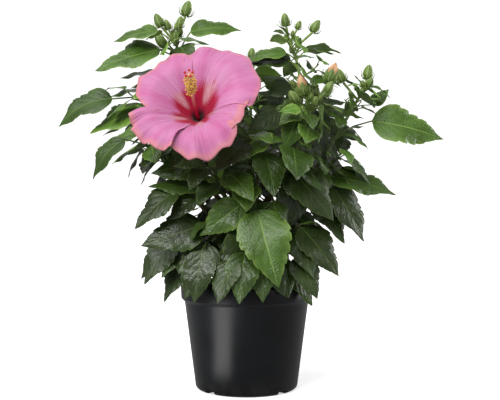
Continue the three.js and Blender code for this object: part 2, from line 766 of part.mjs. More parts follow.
function budSolid(stem, [at, heading, stalkPitch, stalkLength, length], gap) {
  const foot = stem.getPoint(at);
  const rise = compass(heading, stalkPitch);
  const base = foot.clone().addScaledVector(rise, stalkLength);
  const axis = rise.clone().addScaledVector(up, 0.6).normalize();
  const side = new THREE.Vector3().crossVectors(axis, right).normalize();
  const other = new THREE.Vector3().crossVectors(axis, side);
  const spread = (centre, radius, u, w) =>
    centre.clone().addScaledVector(side, (radius + gap) * u).addScaledVector(other, (radius + gap) * w);
  return skin(4, budProfile.length + 1, (ring, u, w) => {
    if (ring < 2) return spread(foot, ring * budStalkRadius, u, w);
    const share = (ring - 2) / (budProfile.length - 1);
    const girth = Math.max(budProfile[ring - 2] * length * budGirth, share < 1 ? budStalkRadius : 0);
    return spread(base.clone().addScaledVector(axis, (length + gap) * share), girth, u, w);
  });
}

// ---------- bloom ----------
const facing = compass(270 - bloom.turn, bloom.lean);
const bloomRight = new THREE.Vector3().crossVectors(facing, up).negate().normalize();
const bloomUp = new THREE.Vector3().crossVectors(facing, bloomRight).normalize();

// A point of the bloom's frame: out along its axis, and round it by an angle from its right.
function bloomPoint(height, radius, angle) {
  return point(bloom.throat)
    .addScaledVector(facing, height)
    .addScaledVector(bloomRight, radius * Math.cos(angle))
    .addScaledVector(bloomUp, radius * Math.sin(angle));
}

// A point of a petal: t from the throat to the rim, u across it from 1 anticlockwise to -1 clockwise,
// and rise above its middle surface.
function petalPoint(index, t, u, rise) {
  const petal = petals[index];
  const side = u > 0 ? 0 : 1;
  const angle = radians(petal.middle + u * petal.spread[side]);
  const shoulder = (1 - petal.round[side] * Math.abs(u) ** 3.5) * (1 - petal.taper[side] * Math.abs(u) ** 1.5);
  const radius = bloom.throatRadius + (petal.reach - bloom.throatRadius) * t * shoulder;
  const share = radius / bloom.flare;
  const funnel = bloom.funnelDepth * Math.sin(Math.min(1, share) * Math.PI * 0.5);
  const lift = petal.lift * Math.min(1, share);
  const curl = bloom.curl * (Math.max(0, radius - bloom.curlFrom) / 20) ** 1.6;
  const lap = bloom.petalLap * petal.over[side] * u * u * Math.min(1, share * 1.6);
  const pleat = bloom.petalPleat * share * share * (1 - u ** 4) * Math.sin(u * 9 + index * 2.3);
  return bloomPoint(funnel + lift - curl + lap + pleat + rise, radius, angle);
}

function petalSolid(index) {
  return skin(bloom.petalMeridians, bloom.petalRings, (ring, u, w) => {
    const across = 1 - (2 * Math.acos(THREE.MathUtils.clamp(u, -1, 1))) / Math.PI;
    const face = Math.abs(w) < 1e-6 ? 0 : Math.sign(w);
    const t = ring < bloom.petalRings ? 0.99 * Math.sin((Math.PI * 0.5 * ring) / (bloom.petalRings - 1)) : 1;
    return petalPoint(index, t, across, face * bloom.petalThick * 0.5);
  });
}

function coneAlong(heights, radii, sides) {
  const profile = heights.map((h, i) => new THREE.Vector2(radii[i], h));
  const cone = new THREE.LatheGeometry(profile, sides);
  return solidOf(
    remap(cone, (v) => v.copy(bloomPoint(v.y, Math.hypot(v.x, v.z), Math.atan2(v.z, v.x)))),
  );
}

function makeCorolla() {
  const heart = coneAlong([-1, -1, 5, 5], [0, 3.6, 4.4, 0], 10);
  return largest(fuse([heart, ...petals.map((petal, i) => petalSolid(i))]));
}

const columnCurve = new THREE.QuadraticBezierCurve3(
  bloomPoint(5 + clearance, 0, 0),
  bloomPoint(bloom.columnLength * 0.5, 1.5, -Math.PI / 2),
  bloomPoint(bloom.columnLength, 4.5, Math.PI / 3),
);

// A slim spindle from one point to another, widest near its far end.
function spindle(from, to, radius) {
  const along = to.clone().sub(from).normalize();
  const side = new THREE.Vector3().crossVectors(along, Math.abs(along.z) < 0.9 ? up : right).normalize();
  const other = new THREE.Vector3().crossVectors(along, side);
  const middle = from.clone().lerp(to, 0.72);
  return skin(4, 2, (ring, u, w) => {
    if (ring === 0) return from.clone();
    if (ring === 2) return to.clone();
    return middle.clone().addScaledVector(side, radius * u).addScaledVector(other, radius * w);
  });
}

function makeColumn() {
  const parts = [tube(columnCurve, taper(bloom.columnRadius, 1.4), 7, 5)];
  const outwards = (angle) => bloomPoint(0, 1, radians(angle)).sub(point(bloom.throat));
  for (let i = 0; i < bloom.anthers; i += 1) {
    const spot = columnCurve.getPoint(0.52 + (0.4 * i) / bloom.anthers);
    const head = spot.clone().addScaledVector(outwards(i * goldenAngle), 6.4).addScaledVector(facing, 2);
    parts.push(spindle(spot, head, 1.3));
  }
  for (let i = 0; i < bloom.stigmas; i += 1) {
    const foot = columnCurve.getPoint(0.97);
    const head = foot.clone().addScaledVector(outwards(90 + (i * 360) / bloom.stigmas), 5.6);
    parts.push(spindle(foot, head.addScaledVector(facing, 6), 1.5));
  }
  return largest(fuse(parts));
}

// The green cup under the petals with its ring of bracts, on a stalk from the bough.
function makeCalyx(corolla, taken) {
  const end = -bloom.calyxLength;
  const cup = coneAlong([end, end, -8, 7, 7, -1.4], [0, 2.6, 5.4, 8.4, 7.6, 0], 10);
  const foot = boughCurves.bloom.getPoint(bloom.stalkFrom);
  const bend = bloomPoint(end - bloom.stalkBend, 0, 0);
  const path = new THREE.QuadraticBezierCurve3(foot, bend, bloomPoint(end + 2, 0, 0));
  const parts = [cup, tube(path, taper(1.5, 1.9), 6, 6)];
  for (let i = 0; i < bloom.bracts; i += 1) {
    const angle = radians(30 + (i * 360) / bloom.bracts);
    const bract = new THREE.QuadraticBezierCurve3(
      bloomPoint(end + 2, 1.5, angle),
      bloomPoint(end + 3, 8, angle),
      bloomPoint(end + 13, 11, angle),
    );
    parts.push(tube(bract, taper(1.0, 0.4), 3, 2));
  }
  const heart = coneAlong([-1 - clearance, -1 - clearance, 6, 6], [0, 4.2, 5, 0], 10);
  return largest(fuse(parts).subtract(heart).subtract(corolla).subtract(taken));
}

// ---------- assembly ----------
const group = new THREE.Group();

function addNode(name, solid, look) {
  const mesh = new THREE.Mesh(geometryOf(solid), look);
  mesh.name = name;
  group.add(mesh);
}

const { made: boughSolids, taken: limbsTaken } = makeBoughs();
const corolla = makeCorolla();
const firm = [
  ["pot", makePot(), finish.pot],
  ["soil", makeSoil(), finish.soil],
  ["trunk", trunkSolid(0), finish.bark],
  ...Object.entries(boughSolids).map(([name, solid]) => ["bough_" + name, solid, finish.bark]),
  ["bloom_corolla", corolla, finish.petal],
  ["bloom_column", makeColumn(), finish.column],
  ["bloom_calyx", makeCalyx(corolla, limbsTaken), finish.calyx],
];
for (const [name, solid, look] of firm) {
  addNode(name, solid, look);
  addObstacle(name, name, solid);
}

// Every stem comes first, then every bud, then the leaves of the outline, and last what the rule adds.
for (const [name, shoot] of Object.entries(shoots)) {
  shoot.name = name;
  shoot.curve = shootCurve(shoot);
  shoot.solids = [largest(tube(shoot.curve, shootRadius(shoot), shootSides, 5).subtract(limbsTaken))];
  addObstacle(name, name, shoot.solids[0]);
}

function addLeaf(shoot, stem, wanted) {
  const leaf = findRoom(shoot, stem, wanted);
  if (!leaf) return;
  addObstacle(shoot.name, "blade", bladeSolid(leaf, 0));
  addObstacle(shoot.name, stem.name, stalkSolid(leaf, 0, 0));
  shoot.solids.push(leafSolid(leaf));
}

function addBud(shoot, bud) {
  if (meets(budSolid(shoot.curve, bud, 0.5), (other) => other.mass === shoot.name)) return;
  const solid = budSolid(shoot.curve, bud, 0);
  addObstacle(shoot.name, shoot.name, solid);
  shoot.solids.push(solid);
}

function addTwig(shoot, index, random) {
  const curve = ruleTwig(shoot, index, random);
  const twig = { name: shoot.name + "_twig_" + index, curve };
  const habit = { ...shoot, size: shoot.size * twigRule.leafSize };
  const leaves = ruleLeaves(curve, twigLeaves, twigRule.firstLeaf, habit, random);
  const thick = (t) => shoot.radius * mix(twigRule.radius, t);
  const space = plus(thick, leafShape.stalkGuard);
  const beyond = new THREE.QuadraticBezierCurve3(curve.getPoint(0.25), curve.getPoint(0.7), curve.v2);
  const taken =
    meets(tube(curve, space, twigSides, 2), (other) => other.mass === shoot.name) ||
    meets(tube(beyond, space, twigSides, 2), (other) => other.stem === shoot.name);
  if (taken) return;
  const solid = tube(curve, thick, twigSides, 3);
  addObstacle(shoot.name, twig.name, solid);
  shoot.solids.push(solid);
  for (const leaf of leaves) addLeaf(shoot, twig, leaf);
}

const allShoots = Object.values(shoots);
for (const shoot of allShoots) for (const bud of shoot.buds) addBud(shoot, bud);
for (const shoot of allShoots) for (const leaf of shoot.outline) addLeaf(shoot, shoot, outlineLeaf(leaf));
for (const shoot of allShoots) {
  const random = makeRandom(shoot.seed);
  const leaves = ruleLeaves(shoot.curve, shoot.leaves, rule.firstLeaf, shoot, random);
  for (const leaf of leaves) addLeaf(shoot, shoot, leaf);
  for (let i = 0; i < shoot.twigs; i += 1) addTwig(shoot, i, random);
}
for (const { name, solids } of allShoots) addNode("foliage_" + name, largest(fuse(solids)), finish.foliage);

export default group;
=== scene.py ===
import bpy, bmesh
import numpy as np
from math import sin, cos, pi, radians, degrees, atan2, hypot, copysign, acos
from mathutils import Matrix, Quaternion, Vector, kdtree, noise


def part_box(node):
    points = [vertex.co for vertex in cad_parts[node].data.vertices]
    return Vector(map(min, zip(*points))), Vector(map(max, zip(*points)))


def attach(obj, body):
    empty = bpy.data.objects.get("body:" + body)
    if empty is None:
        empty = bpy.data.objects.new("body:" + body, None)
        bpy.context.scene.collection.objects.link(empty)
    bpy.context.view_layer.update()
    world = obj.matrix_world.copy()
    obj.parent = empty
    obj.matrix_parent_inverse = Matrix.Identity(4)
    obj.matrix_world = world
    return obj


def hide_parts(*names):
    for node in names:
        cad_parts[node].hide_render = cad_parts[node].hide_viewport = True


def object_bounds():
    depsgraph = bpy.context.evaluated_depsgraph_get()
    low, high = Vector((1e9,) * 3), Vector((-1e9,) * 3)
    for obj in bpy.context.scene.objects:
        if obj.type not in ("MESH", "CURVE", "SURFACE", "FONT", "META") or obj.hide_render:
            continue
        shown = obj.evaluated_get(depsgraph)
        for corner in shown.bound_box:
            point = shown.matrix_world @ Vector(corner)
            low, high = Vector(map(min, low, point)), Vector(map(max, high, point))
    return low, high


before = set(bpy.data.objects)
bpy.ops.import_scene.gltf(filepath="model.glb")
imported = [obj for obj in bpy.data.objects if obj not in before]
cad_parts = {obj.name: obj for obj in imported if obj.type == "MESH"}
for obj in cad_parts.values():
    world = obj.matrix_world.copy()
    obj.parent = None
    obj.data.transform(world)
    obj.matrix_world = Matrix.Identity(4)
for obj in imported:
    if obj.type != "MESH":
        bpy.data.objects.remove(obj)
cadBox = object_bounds()

# Shapes are worked out in millimetres and go to metres when a piece is made.
# A heading is a compass angle: 0 right, 90 back, 180 left, 270 front. A pitch is degrees above level.
mm = 0.001
up = Vector((0, 0, 1))
goldenAngle = 137.5


def compass(heading, pitch):
    h, p = radians(heading), radians(pitch)
    return Vector((cos(h) * cos(p), sin(h) * cos(p), sin(p)))


def headingOf(v):
    return degrees(atan2(v.y, v.x))


def makeRandom(seed):
    state = [seed * 2654435761 % 2**32]

    def draw():
        state[0] = (state[0] * 1664525 + 1013904223) % 2**32
        return state[0] / 2**32

    return draw


def spread(draw, mean, swing):
    return mean + (draw() * 2 - 1) * swing


def between(a, b, share):
    return a + (b - a) * share


def smoothStep(low, high, x):
    s = min(1, max(0, (x - low) / (high - low)))
    return s * s * (3 - 2 * s)


# A limb is a quadratic curve: its foot, the point it bends towards, and its end.
def along(limb, t):
    a, b, c = limb
    return a * (1 - t) ** 2 + b * (2 * t * (1 - t)) + c * (t * t)


def runOf(limb, t):
    a, b, c = limb
    return ((b - a) * (1 - t) + (c - b) * t).normalized()


def asObject(bm, name):
    # closes a bmesh made in millimetres into an object in metres
    bmesh.ops.scale(bm, vec=(mm, mm, mm), verts=bm.verts)
    mesh = bpy.data.meshes.new(name)
    bm.to_mesh(mesh)
    bm.free()
    piece = bpy.data.objects.new(name, mesh)
    bpy.context.collection.objects.link(piece)
    return piece


def settle(piece, materials, slot, *nodes):
    for look in materials:
        piece.data.materials.append(look)
    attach(piece, "root")
    if nodes:
        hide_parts(*nodes)
    print(piece.name, len(piece.data.polygons), "faces")
    return piece


def finish(bm, name, materials, slot, *nodes, smooth=True):
    for face in bm.faces:
        face.smooth = smooth
    return settle(asObject(bm, name), materials, slot, *nodes)


def evaluated(piece):
    return bpy.data.meshes.new_from_object(piece.evaluated_get(bpy.context.evaluated_depsgraph_get()))


def applied(piece, kind, **settings):
    # adds a modifier and bakes it into the mesh
    made = piece.modifiers.new(kind, kind)
    for key, value in settings.items():
        setattr(made, key, value)
    bpy.context.view_layer.update()
    old = piece.data
    mesh = evaluated(piece)
    piece.modifiers.clear()
    piece.data = mesh
    bpy.data.meshes.remove(old)
    return piece


def addTubes(bm, runs, sides, look=0):
    # adds closed round tubes in the look of that number: each run is its points and its radii
    curve = bpy.data.curves.new("runs", "CURVE")
    curve.dimensions = "3D"
    curve.bevel_depth = 1
    curve.bevel_resolution = sides // 2 - 2
    curve.use_fill_caps = True
    for points, radii in runs:
        spline = curve.splines.new("POLY")
        spline.points.add(len(points) - 1)
        spline.points.foreach_set("co", [x for p in points for x in (*p, 1)])
        spline.points.foreach_set("radius", radii)
    holder = bpy.data.objects.new("runs", curve)
    bpy.context.collection.objects.link(holder)
    mesh = evaluated(holder)
    bpy.data.objects.remove(holder)
    bpy.data.curves.remove(curve)
    before = len(bm.faces)
    bm.from_mesh(mesh)
    bpy.data.meshes.remove(mesh)
    bm.faces.ensure_lookup_table()
    made = bm.faces[before:]
    bmesh.ops.recalc_face_normals(bm, faces=made)
    for face in made:
        face.material_index = look
    return bm


def runAlong(limb, fromRadius, toRadius, steps):
    shares = [i / steps for i in range(steps + 1)]
    return [along(limb, t) for t in shares], [between(fromRadius, toRadius, t) for t in shares]


def colour(code):
    # a display colour such as "3d6a2c" as Blender's linear values
    parts = [int(code[i:i + 2], 16) / 255 for i in (0, 2, 4)]
    return (*[c / 12.92 if c <= 0.04045 else ((c + 0.055) / 1.055) ** 2.4 for c in parts], 1)


def addNode(tree, kind, inputs={}, **settings):
    made = tree.nodes.new(kind)
    for key, value in settings.items():
        setattr(made, key, value)
    for key, value in inputs.items():
        if isinstance(value, bpy.types.NodeSocket):
            tree.links.new(value, made.inputs[key])
        else:
            made.inputs[key].default_value = value
    return made


def calc(tree, operation, *values):
    return addNode(tree, "ShaderNodeMath", dict(enumerate(values)), operation=operation).outputs[0]


def times(tree, a, b):
    return calc(tree, "MULTIPLY", a, b)


def plus(tree, a, b):
    return calc(tree, "ADD", a, b)


def offMiddle(tree, share):
    return calc(tree, "ABSOLUTE", times(tree, calc(tree, "SUBTRACT", share, 0.5), 2))


def ramp(tree, value, low, high, toLow=0.0, toHigh=1.0):
    inputs = {"Value": value, "From Min": low, "From Max": high, "To Min": toLow, "To Max": toHigh}
    return addNode(tree, "ShaderNodeMapRange", inputs, interpolation_type="SMOOTHSTEP").outputs[0]


def mixed(tree, share, a, b):
    return addNode(tree, "ShaderNodeMix", {0: share, 6: a, 7: b}, data_type="RGBA").outputs[2]


def stretched(tree, place, factors):
    return addNode(tree, "ShaderNodeVectorMath", {0: place, 1: factors}, operation="MULTIPLY").outputs[0]


def split(tree, place):
    return addNode(tree, "ShaderNodeSeparateXYZ", {0: place}).outputs


def objectPlace(tree):
    return tree.nodes.new("ShaderNodeTexCoord").outputs["Object"]


def ownMap(tree):
    return addNode(tree, "ShaderNodeUVMap", uv_map="own").outputs[0]


def noiseOf(tree, place, scale, detail, **more):
    inputs = {"Vector": place, "Scale": scale, "Detail": detail, **more}
    return addNode(tree, "ShaderNodeTexNoise", inputs).outputs[0]


def seenOr(tree, hidden, seen):
    # one value for the camera's own rays, and another for the light that goes round
    direct = tree.nodes.new("ShaderNodeLightPath").outputs["Is Camera Ray"]
    return plus(tree, hidden, times(tree, direct, seen - hidden))


def startGroup(name, inputs, outputs):
    tree = bpy.data.node_groups.new(name, "ShaderNodeTree")
    kinds = {"f": "NodeSocketFloat", "c": "NodeSocketColor", "v": "NodeSocketVector"}
    for key, (kind, value) in inputs.items():
        tree.interface.new_socket(name=key, in_out="INPUT", socket_type=kinds[kind]).default_value = value
    for key, kind in outputs.items():
        tree.interface.new_socket(name=key, in_out="OUTPUT", socket_type=kinds[kind])
    return tree, tree.nodes.new("NodeGroupInput").outputs, tree.nodes.new("NodeGroupOutput").inputs


def useGroup(tree, group, **inputs):
    inputs = {key.replace("_", " "): value for key, value in inputs.items()}
    return addNode(tree, "ShaderNodeGroup", inputs, node_tree=group).outputs


def startLook(name, **uniform):
    look = bpy.data.materials.new(name)
    look.use_nodes = True
    shader = look.node_tree.nodes["Principled BSDF"].inputs
    for key, value in uniform.items():
        shader[key.replace("_", " ")].default_value = value
    return look, look.node_tree, shader


def feed(tree, shader, base, rough):
    tree.links.new(base, shader["Base Color"])
    tree.links.new(rough, shader["Roughness"])


def bump(tree, shader, height, strength, distance):
    made = addNode(tree, "ShaderNodeBump", {"Height": height, "Strength": strength, "Distance": distance})
    tree.links.new(made.outputs[0], shader["Normal"])


# Two tones in soft patches, for every surface that isn't one even colour.
patches, given, out = startGroup(
    "patches",
    {
        "Scale": ("f", 60), "Tone": ("c", (0.1, 0.1, 0.1, 1)), "Other tone": ("c", (0.2, 0.2, 0.2, 1)),
        "Edge": ("f", 0.12),
    },
    {"Color": "c", "Mask": "f"},
)
cloud = noiseOf(patches, objectPlace(patches), given["Scale"], 5, Roughness=0.6)
mask = ramp(patches, cloud, calc(patches, "SUBTRACT", 0.5, given["Edge"]), plus(patches, 0.5, given["Edge"]))
patches.links.new(mask, out["Mask"])
patches.links.new(mixed(patches, mask, given["Tone"], given["Other tone"]), out["Color"])

# A fine uneven grain, as height, drawn out along one axis by Stretch.
grain, given, out = startGroup(
    "fineGrain",
    {"Scale": ("f", 900), "Stretch": ("v", (1, 1, 1)), "Detail": ("f", 4)},
    {"Height": "f"},
)
place = stretched(grain, objectPlace(grain), given["Stretch"])
grain.links.new(noiseOf(grain, place, given["Scale"], given["Detail"]), out["Height"])

# Small domed cells between sunk lines, as height.
cells, given, out = startGroup("cells", {"Scale": ("f", 300)}, {"Height": "f"})
inputs = {"Vector": objectPlace(cells), "Scale": given["Scale"]}
net = addNode(cells, "ShaderNodeTexVoronoi", inputs, feature="DISTANCE_TO_EDGE")
cells.links.new(ramp(cells, net.outputs["Distance"], 0.0, 0.35), out["Height"])

# Veins of a leaf or petal from its own map: y runs from foot to tip, and x across, 0.5 at the midrib.
veins, given, out = startGroup(
    "veins",
    {"Count": ("f", 6), "Slant": ("f", 1.1), "Width": ("f", 0.1), "Fan": ("f", 0)},
    {"Mask": "f", "Quilt": "f", "Across": "f"},
)
spot = split(veins, ownMap(veins))
across = offMiddle(veins, spot[0])
pinnate = calc(veins, "SUBTRACT", spot[1], times(veins, across, times(veins, given["Slant"], 0.3)))
inputs = {0: given["Fan"], 2: pinnate, 3: times(veins, spot[0], 2)}
order = addNode(veins, "ShaderNodeMix", inputs, data_type="FLOAT").outputs[0]
wave = calc(veins, "PINGPONG", times(veins, order, given["Count"]), 0.5)
veins.links.new(across, out["Across"])
veins.links.new(ramp(veins, wave, 0.0, given["Width"], 1.0, 0.0), out["Mask"])
veins.links.new(calc(veins, "SINE", times(veins, wave, pi)), out["Quilt"])

# The pot: the same profile as its solid, turned smooth, and the compost in it.
pot = dict(
    height=103, rimRadius=65, rimHeight=14, rimDraft=0.7, shoulder=2.6, bodyTop=61.2, bodyFoot=50.4,
    footRound=5, roundSteps=8, wall=1.6, floor=2, lip=1, notches=4, notchFrom=38, notchWidth=12,
    notchHeight=3.4, turns=112, crease=32,
)
soil = dict(
    level=92, flatRadius=22, fall=1.5, lumps=1.5, lumpTop=1.2, gap=0.4, rings=40, turns=150,
    crumbs=420, crumbSize=(0.7, 1.6), crumbEdge=3,
)
rimFoot = pot["height"] - pot["rimHeight"]
bodyHeight = rimFoot - pot["shoulder"]
flatFoot = pot["bodyFoot"] - pot["footRound"]


def turned(profile, turns):
    # spins a profile of (radius, height) points round the upright axis into a closed shape
    bm = bmesh.new()
    spots = [bm.verts.new((r, 0, z)) for r, z in profile]
    lines = [bm.edges.new(pair) for pair in zip(spots, spots[1:])]
    bmesh.ops.spin(
        bm, geom=spots + lines, cent=(0, 0, 0), axis=(0, 0, 1), angle=2 * pi, steps=turns, use_merge=True,
    )
    bmesh.ops.remove_doubles(bm, verts=bm.verts, dist=0.001)
    bmesh.ops.recalc_face_normals(bm, faces=bm.faces)
    return bm


def wallRadius(z):
    share = (z - pot["footRound"]) / (bodyHeight - pot["footRound"])
    return between(pot["bodyFoot"], pot["bodyTop"], share)


def potProfile():
    top, rim, lip, wall, turn = [pot[key] for key in ("height", "rimRadius", "lip", "wall", "footRound")]
    skirt, inside = rim - pot["rimDraft"], rim - wall - pot["rimDraft"]
    angles = [pi / 2 * i / pot["roundSteps"] for i in range(1, pot["roundSteps"] + 1)]
    return [
        (0, 0), (flatFoot, 0), *[(flatFoot + turn * sin(a), turn * (1 - cos(a))) for a in angles],
        (pot["bodyTop"] - 0.3, bodyHeight - 0.8), (pot["bodyTop"] + 0.2, bodyHeight),
        (skirt - 0.5, rimFoot - 0.1), (skirt, rimFoot + 0.4),
        (rim, top - lip), (rim - 0.3 * lip, top - 0.3 * lip), (rim - lip, top),
        (inside + 0.3, top), (inside, top - 0.3), (inside, rimFoot + lip), (pot["bodyTop"] - wall, bodyHeight),
        (wallRadius(turn) - wall, turn), (flatFoot, pot["floor"]), (0, pot["floor"]),
    ]


def makePot(look):
    cutters = bmesh.new()
    reach = 2 * (pot["bodyFoot"] - pot["notchFrom"])
    for i in range(pot["notches"]):
        notch = bmesh.ops.create_cube(cutters, size=1)["verts"]
        bmesh.ops.scale(cutters, vec=(reach, pot["notchWidth"], 2 * pot["notchHeight"]), verts=notch)
        bmesh.ops.translate(cutters, vec=(pot["notchFrom"] + reach / 2, 0, 0), verts=notch)
        turn = Quaternion(up, pi * (0.25 + 2 * i / pot["notches"])).to_matrix()
        bmesh.ops.rotate(cutters, cent=(0, 0, 0), matrix=turn, verts=notch)
    piece = asObject(turned(potProfile(), pot["turns"]), "nursery_pot")
    tool = asObject(cutters, "pot_notches")
    applied(piece, "BOOLEAN", object=tool, operation="DIFFERENCE", solver="EXACT")
    bpy.data.objects.remove(tool)
    piece.data.shade_smooth()
    bm = bmesh.new()
    bm.from_mesh(piece.data)
    for edge in bm.edges:
        if edge.is_manifold and edge.calc_face_angle(0) > radians(pot["crease"]):
            edge.smooth = False
    bm.to_mesh(piece.data)
    bm.free()
    return settle(piece, [look], "pot", "pot")


def groundLump(spot):
    flat = Vector((spot.x, spot.y, 0))
    lump = noise.noise(flat * 0.09) * 0.6 + noise.noise(flat * 0.3) * 0.5 + noise.noise(flat * 0.9) * 0.35
    return min(soil["lumpTop"], lump * soil["lumps"]) * smoothStep(62, 58, hypot(spot.x, spot.y))


def makeSoil(look, crumbLook):
    gap = pot["wall"] + soil["gap"]
    edge = pot["rimRadius"] - pot["rimDraft"] - gap - 0.7
    rim = soil["level"] - soil["fall"]
    profile = [
        (0, pot["floor"] + 0.3), (flatFoot - 1, pot["floor"] + 0.3), (wallRadius(8) - gap, 8),
        (pot["bodyTop"] - gap, bodyHeight), (edge, rimFoot + 0.4),
    ]
    for i in range(soil["rings"] + 1):
        r = edge * (1 - i / soil["rings"])
        profile.append((r, between(rim, soil["level"], min(1, (edge - r) / (edge - soil["flatRadius"])))))
    bm = turned(profile, soil["turns"])
    for v in bm.verts:
        v.co.z += groundLump(v.co) if v.co.z > rim - 0.01 else 0
    finish(bm, "potting_compost", [look], "soil", "soil")
    draw = makeRandom(301)
    bm = bmesh.new()
    for _ in range(soil["crumbs"]):
        r, turn = (edge - soil["crumbEdge"]) * draw() ** 0.5, draw() * 2 * pi
        spot = Vector((r * cos(turn), r * sin(turn), 0))
        spot.z = between(soil["level"], rim, smoothStep(soil["flatRadius"], edge, r)) + groundLump(spot) + 0.2
        size = soil["crumbSize"][0] + soil["crumbSize"][1] * draw() ** 3
        lump = bmesh.ops.create_icosphere(bm, subdivisions=1, radius=size)["verts"]
        bmesh.ops.scale(bm, vec=(1, 0.5 + 0.4 * draw(), 0.35 + 0.3 * draw()), verts=lump)
        swing = Quaternion((draw() - 0.5, draw() - 0.5, draw() + 0.2), draw() * 6).to_matrix()
        bmesh.ops.rotate(bm, cent=(0, 0, 0), matrix=swing, verts=lump)
        bmesh.ops.translate(bm, vec=spot, verts=lump)
    finish(bm, "compost_crumbs", [crumbLook], "soil", smooth=False)


# The woody stem and its boughs: one skin over all the limbs, with the bark's relief.
trunk = dict(
    path=[Vector(p) for p in ((0, 0, 89), (-3, 3, 122), (0, -1, 150), (-5, 2, 178))],
    radii=(10.5, 7.4, 6.9, 6.4, 5.8, 5.2, 4.6), skin=0.75, furrows=0.42, knots=0.5, rough=(110, 250),
)
boughs = {  # share up the trunk, end, radius
    "bloom": (0.99, (-44, 0, 252), 3.7), "right": (0.96, (46, 6, 250), 3.7),
    "left": (0.5, (-60, -26, 204), 3.3), "left_upper": (0.8, (-62, 8, 234), 3.0),
    "front_left": (0.62, (-20, -34, 188), 2.8), "centre": (0.9, (12, -32, 212), 3.0),
    "right_front": (0.72, (35, -36, 212), 3.1), "right_low": (0.42, (56, -12, 186), 3.0),
    "right_outer": (0.56, (72, 0, 222), 3.2), "back_left": (0.66, (-28, 36, 202), 3.1),
    "back_right": (0.76, (31, 37, 206), 3.1), "back": (0.88, (2, 33, 224), 3.1),
}
boughTaper = 0.66
knee = (0.55, 0.38)  # where a limb turns to lean out, as shares of its run and rise


def trunkAt(share):
    # the smooth path through the trunk's points
    points = trunk["path"]
    last = len(points) - 1
    i = min(int(share * last), last - 1)
    w = share * last - i
    b, c = points[i], points[i + 1]
    a = points[i - 1] if i > 0 else b * 2 - c
    d = points[i + 2] if i + 2 <= last else c * 2 - b
    p, q, r = [(y - x).length ** 0.5 for x, y in ((a, b), (b, c), (c, d))]
    leave = ((b - a) / p - (c - a) / (p + q) + (c - b) / q) * q
    arrive = ((c - b) / q - (d - b) / (q + r) + (d - c) / r) * q
    square, cube = b * -3 + c * 3 - leave * 2 - arrive, b * 2 - c * 2 + leave + arrive
    return b + leave * w + square * w**2 + cube * w**3


def trunkRadius(share):
    return float(np.interp(share * (len(trunk["radii"]) - 1), range(len(trunk["radii"])), trunk["radii"]))


def limbBetween(foot, end):
    bend = foot.lerp(end, knee[0])
    bend.z = between(foot.z, end.z, knee[1])
    return foot, bend, end


boughLimbs = {name: limbBetween(trunkAt(share), Vector(end)) for name, (share, end, _) in boughs.items()}


def makeStem(look):
    shares = [i / 26 for i in range(27)]
    runs = [([trunkAt(t) for t in shares], [trunkRadius(t) for t in shares])]
    for name, (_, _, radius) in boughs.items():
        runs.append(runAlong(boughLimbs[name], radius, radius * boughTaper, 14))
    piece = asObject(addTubes(bmesh.new(), runs, 12), "woody_stem")
    applied(piece, "REMESH", mode="VOXEL", voxel_size=trunk["skin"] * mm, use_smooth_shade=True)
    bm = bmesh.new()
    bm.from_mesh(piece.data)
    bmesh.ops.smooth_vert(bm, verts=bm.verts, factor=0.5, use_axis_x=True, use_axis_y=True, use_axis_z=True)
    bm.normal_update()
    moves = []
    for v in bm.verts:
        at = v.co / mm
        old = smoothStep(trunk["rough"][1], trunk["rough"][0], at.z)  # the bark is rougher low down
        furrow = noise.noise(Vector((at.x * 0.55, at.y * 0.55, at.z * 0.13)))
        fine = noise.noise(Vector((at.x * 1.3, at.y * 1.3, at.z * 0.5)))
        knot = max(0, noise.noise(at * 0.16) - 0.25)
        moves.append(v.normal * mm * (old * trunk["furrows"] * (furrow + 0.5 * fine) + trunk["knots"] * knot))
    for v, move in zip(bm.verts, moves):
        v.co += move
    bm.to_mesh(piece.data)
    bm.free()
    return settle(piece, [look], "bark", "trunk", *["bough_" + name for name in boughs])


# The foliage grows by the same rule as its solids: each mass is a shoot with leaves in a golden spiral,
# side twigs and buds. How far a pair may differ is its second number; angles are in degrees.
rule = dict(
    firstLeaf=0.12, spiral=14, lightPull=0.35, shrink=0.38, length=0.12, width=0.1, blade=0.62,
    stalk=(0.44, 0.28), stalkPitch=(8, 42, 8), pitch=9, arch=(34, 16), fold=(12, 10), roll=18, outwards=0.8,
    sink=0.3, lean=0.45, shootTaper=0.55,
)
twigRule = dict(
    firstLeaf=0.3, start=0.2, spread=0.55, shift=0.06, turn=(58, 20), pitch=(24, 12), reach=(0.5, 0.1),
    bend=0.55, lift=0.7, leafSize=0.8, radius=(0.6, 0.36), leaves=2,
)
# The turns and dips that a leaf tries for room: by the rule, and among the finer ones.
ruleTries = dict(turns=(0, 8, -8, 16, -16, 25, -25, 34, -34, 45, -45), dips=(0, -9, 9, -18), stalkShare=0.5)
finerTries = dict(turns=(0, 22, -22, 45, -45, 75, -75), dips=(0, -16, 16), stalkShare=1)
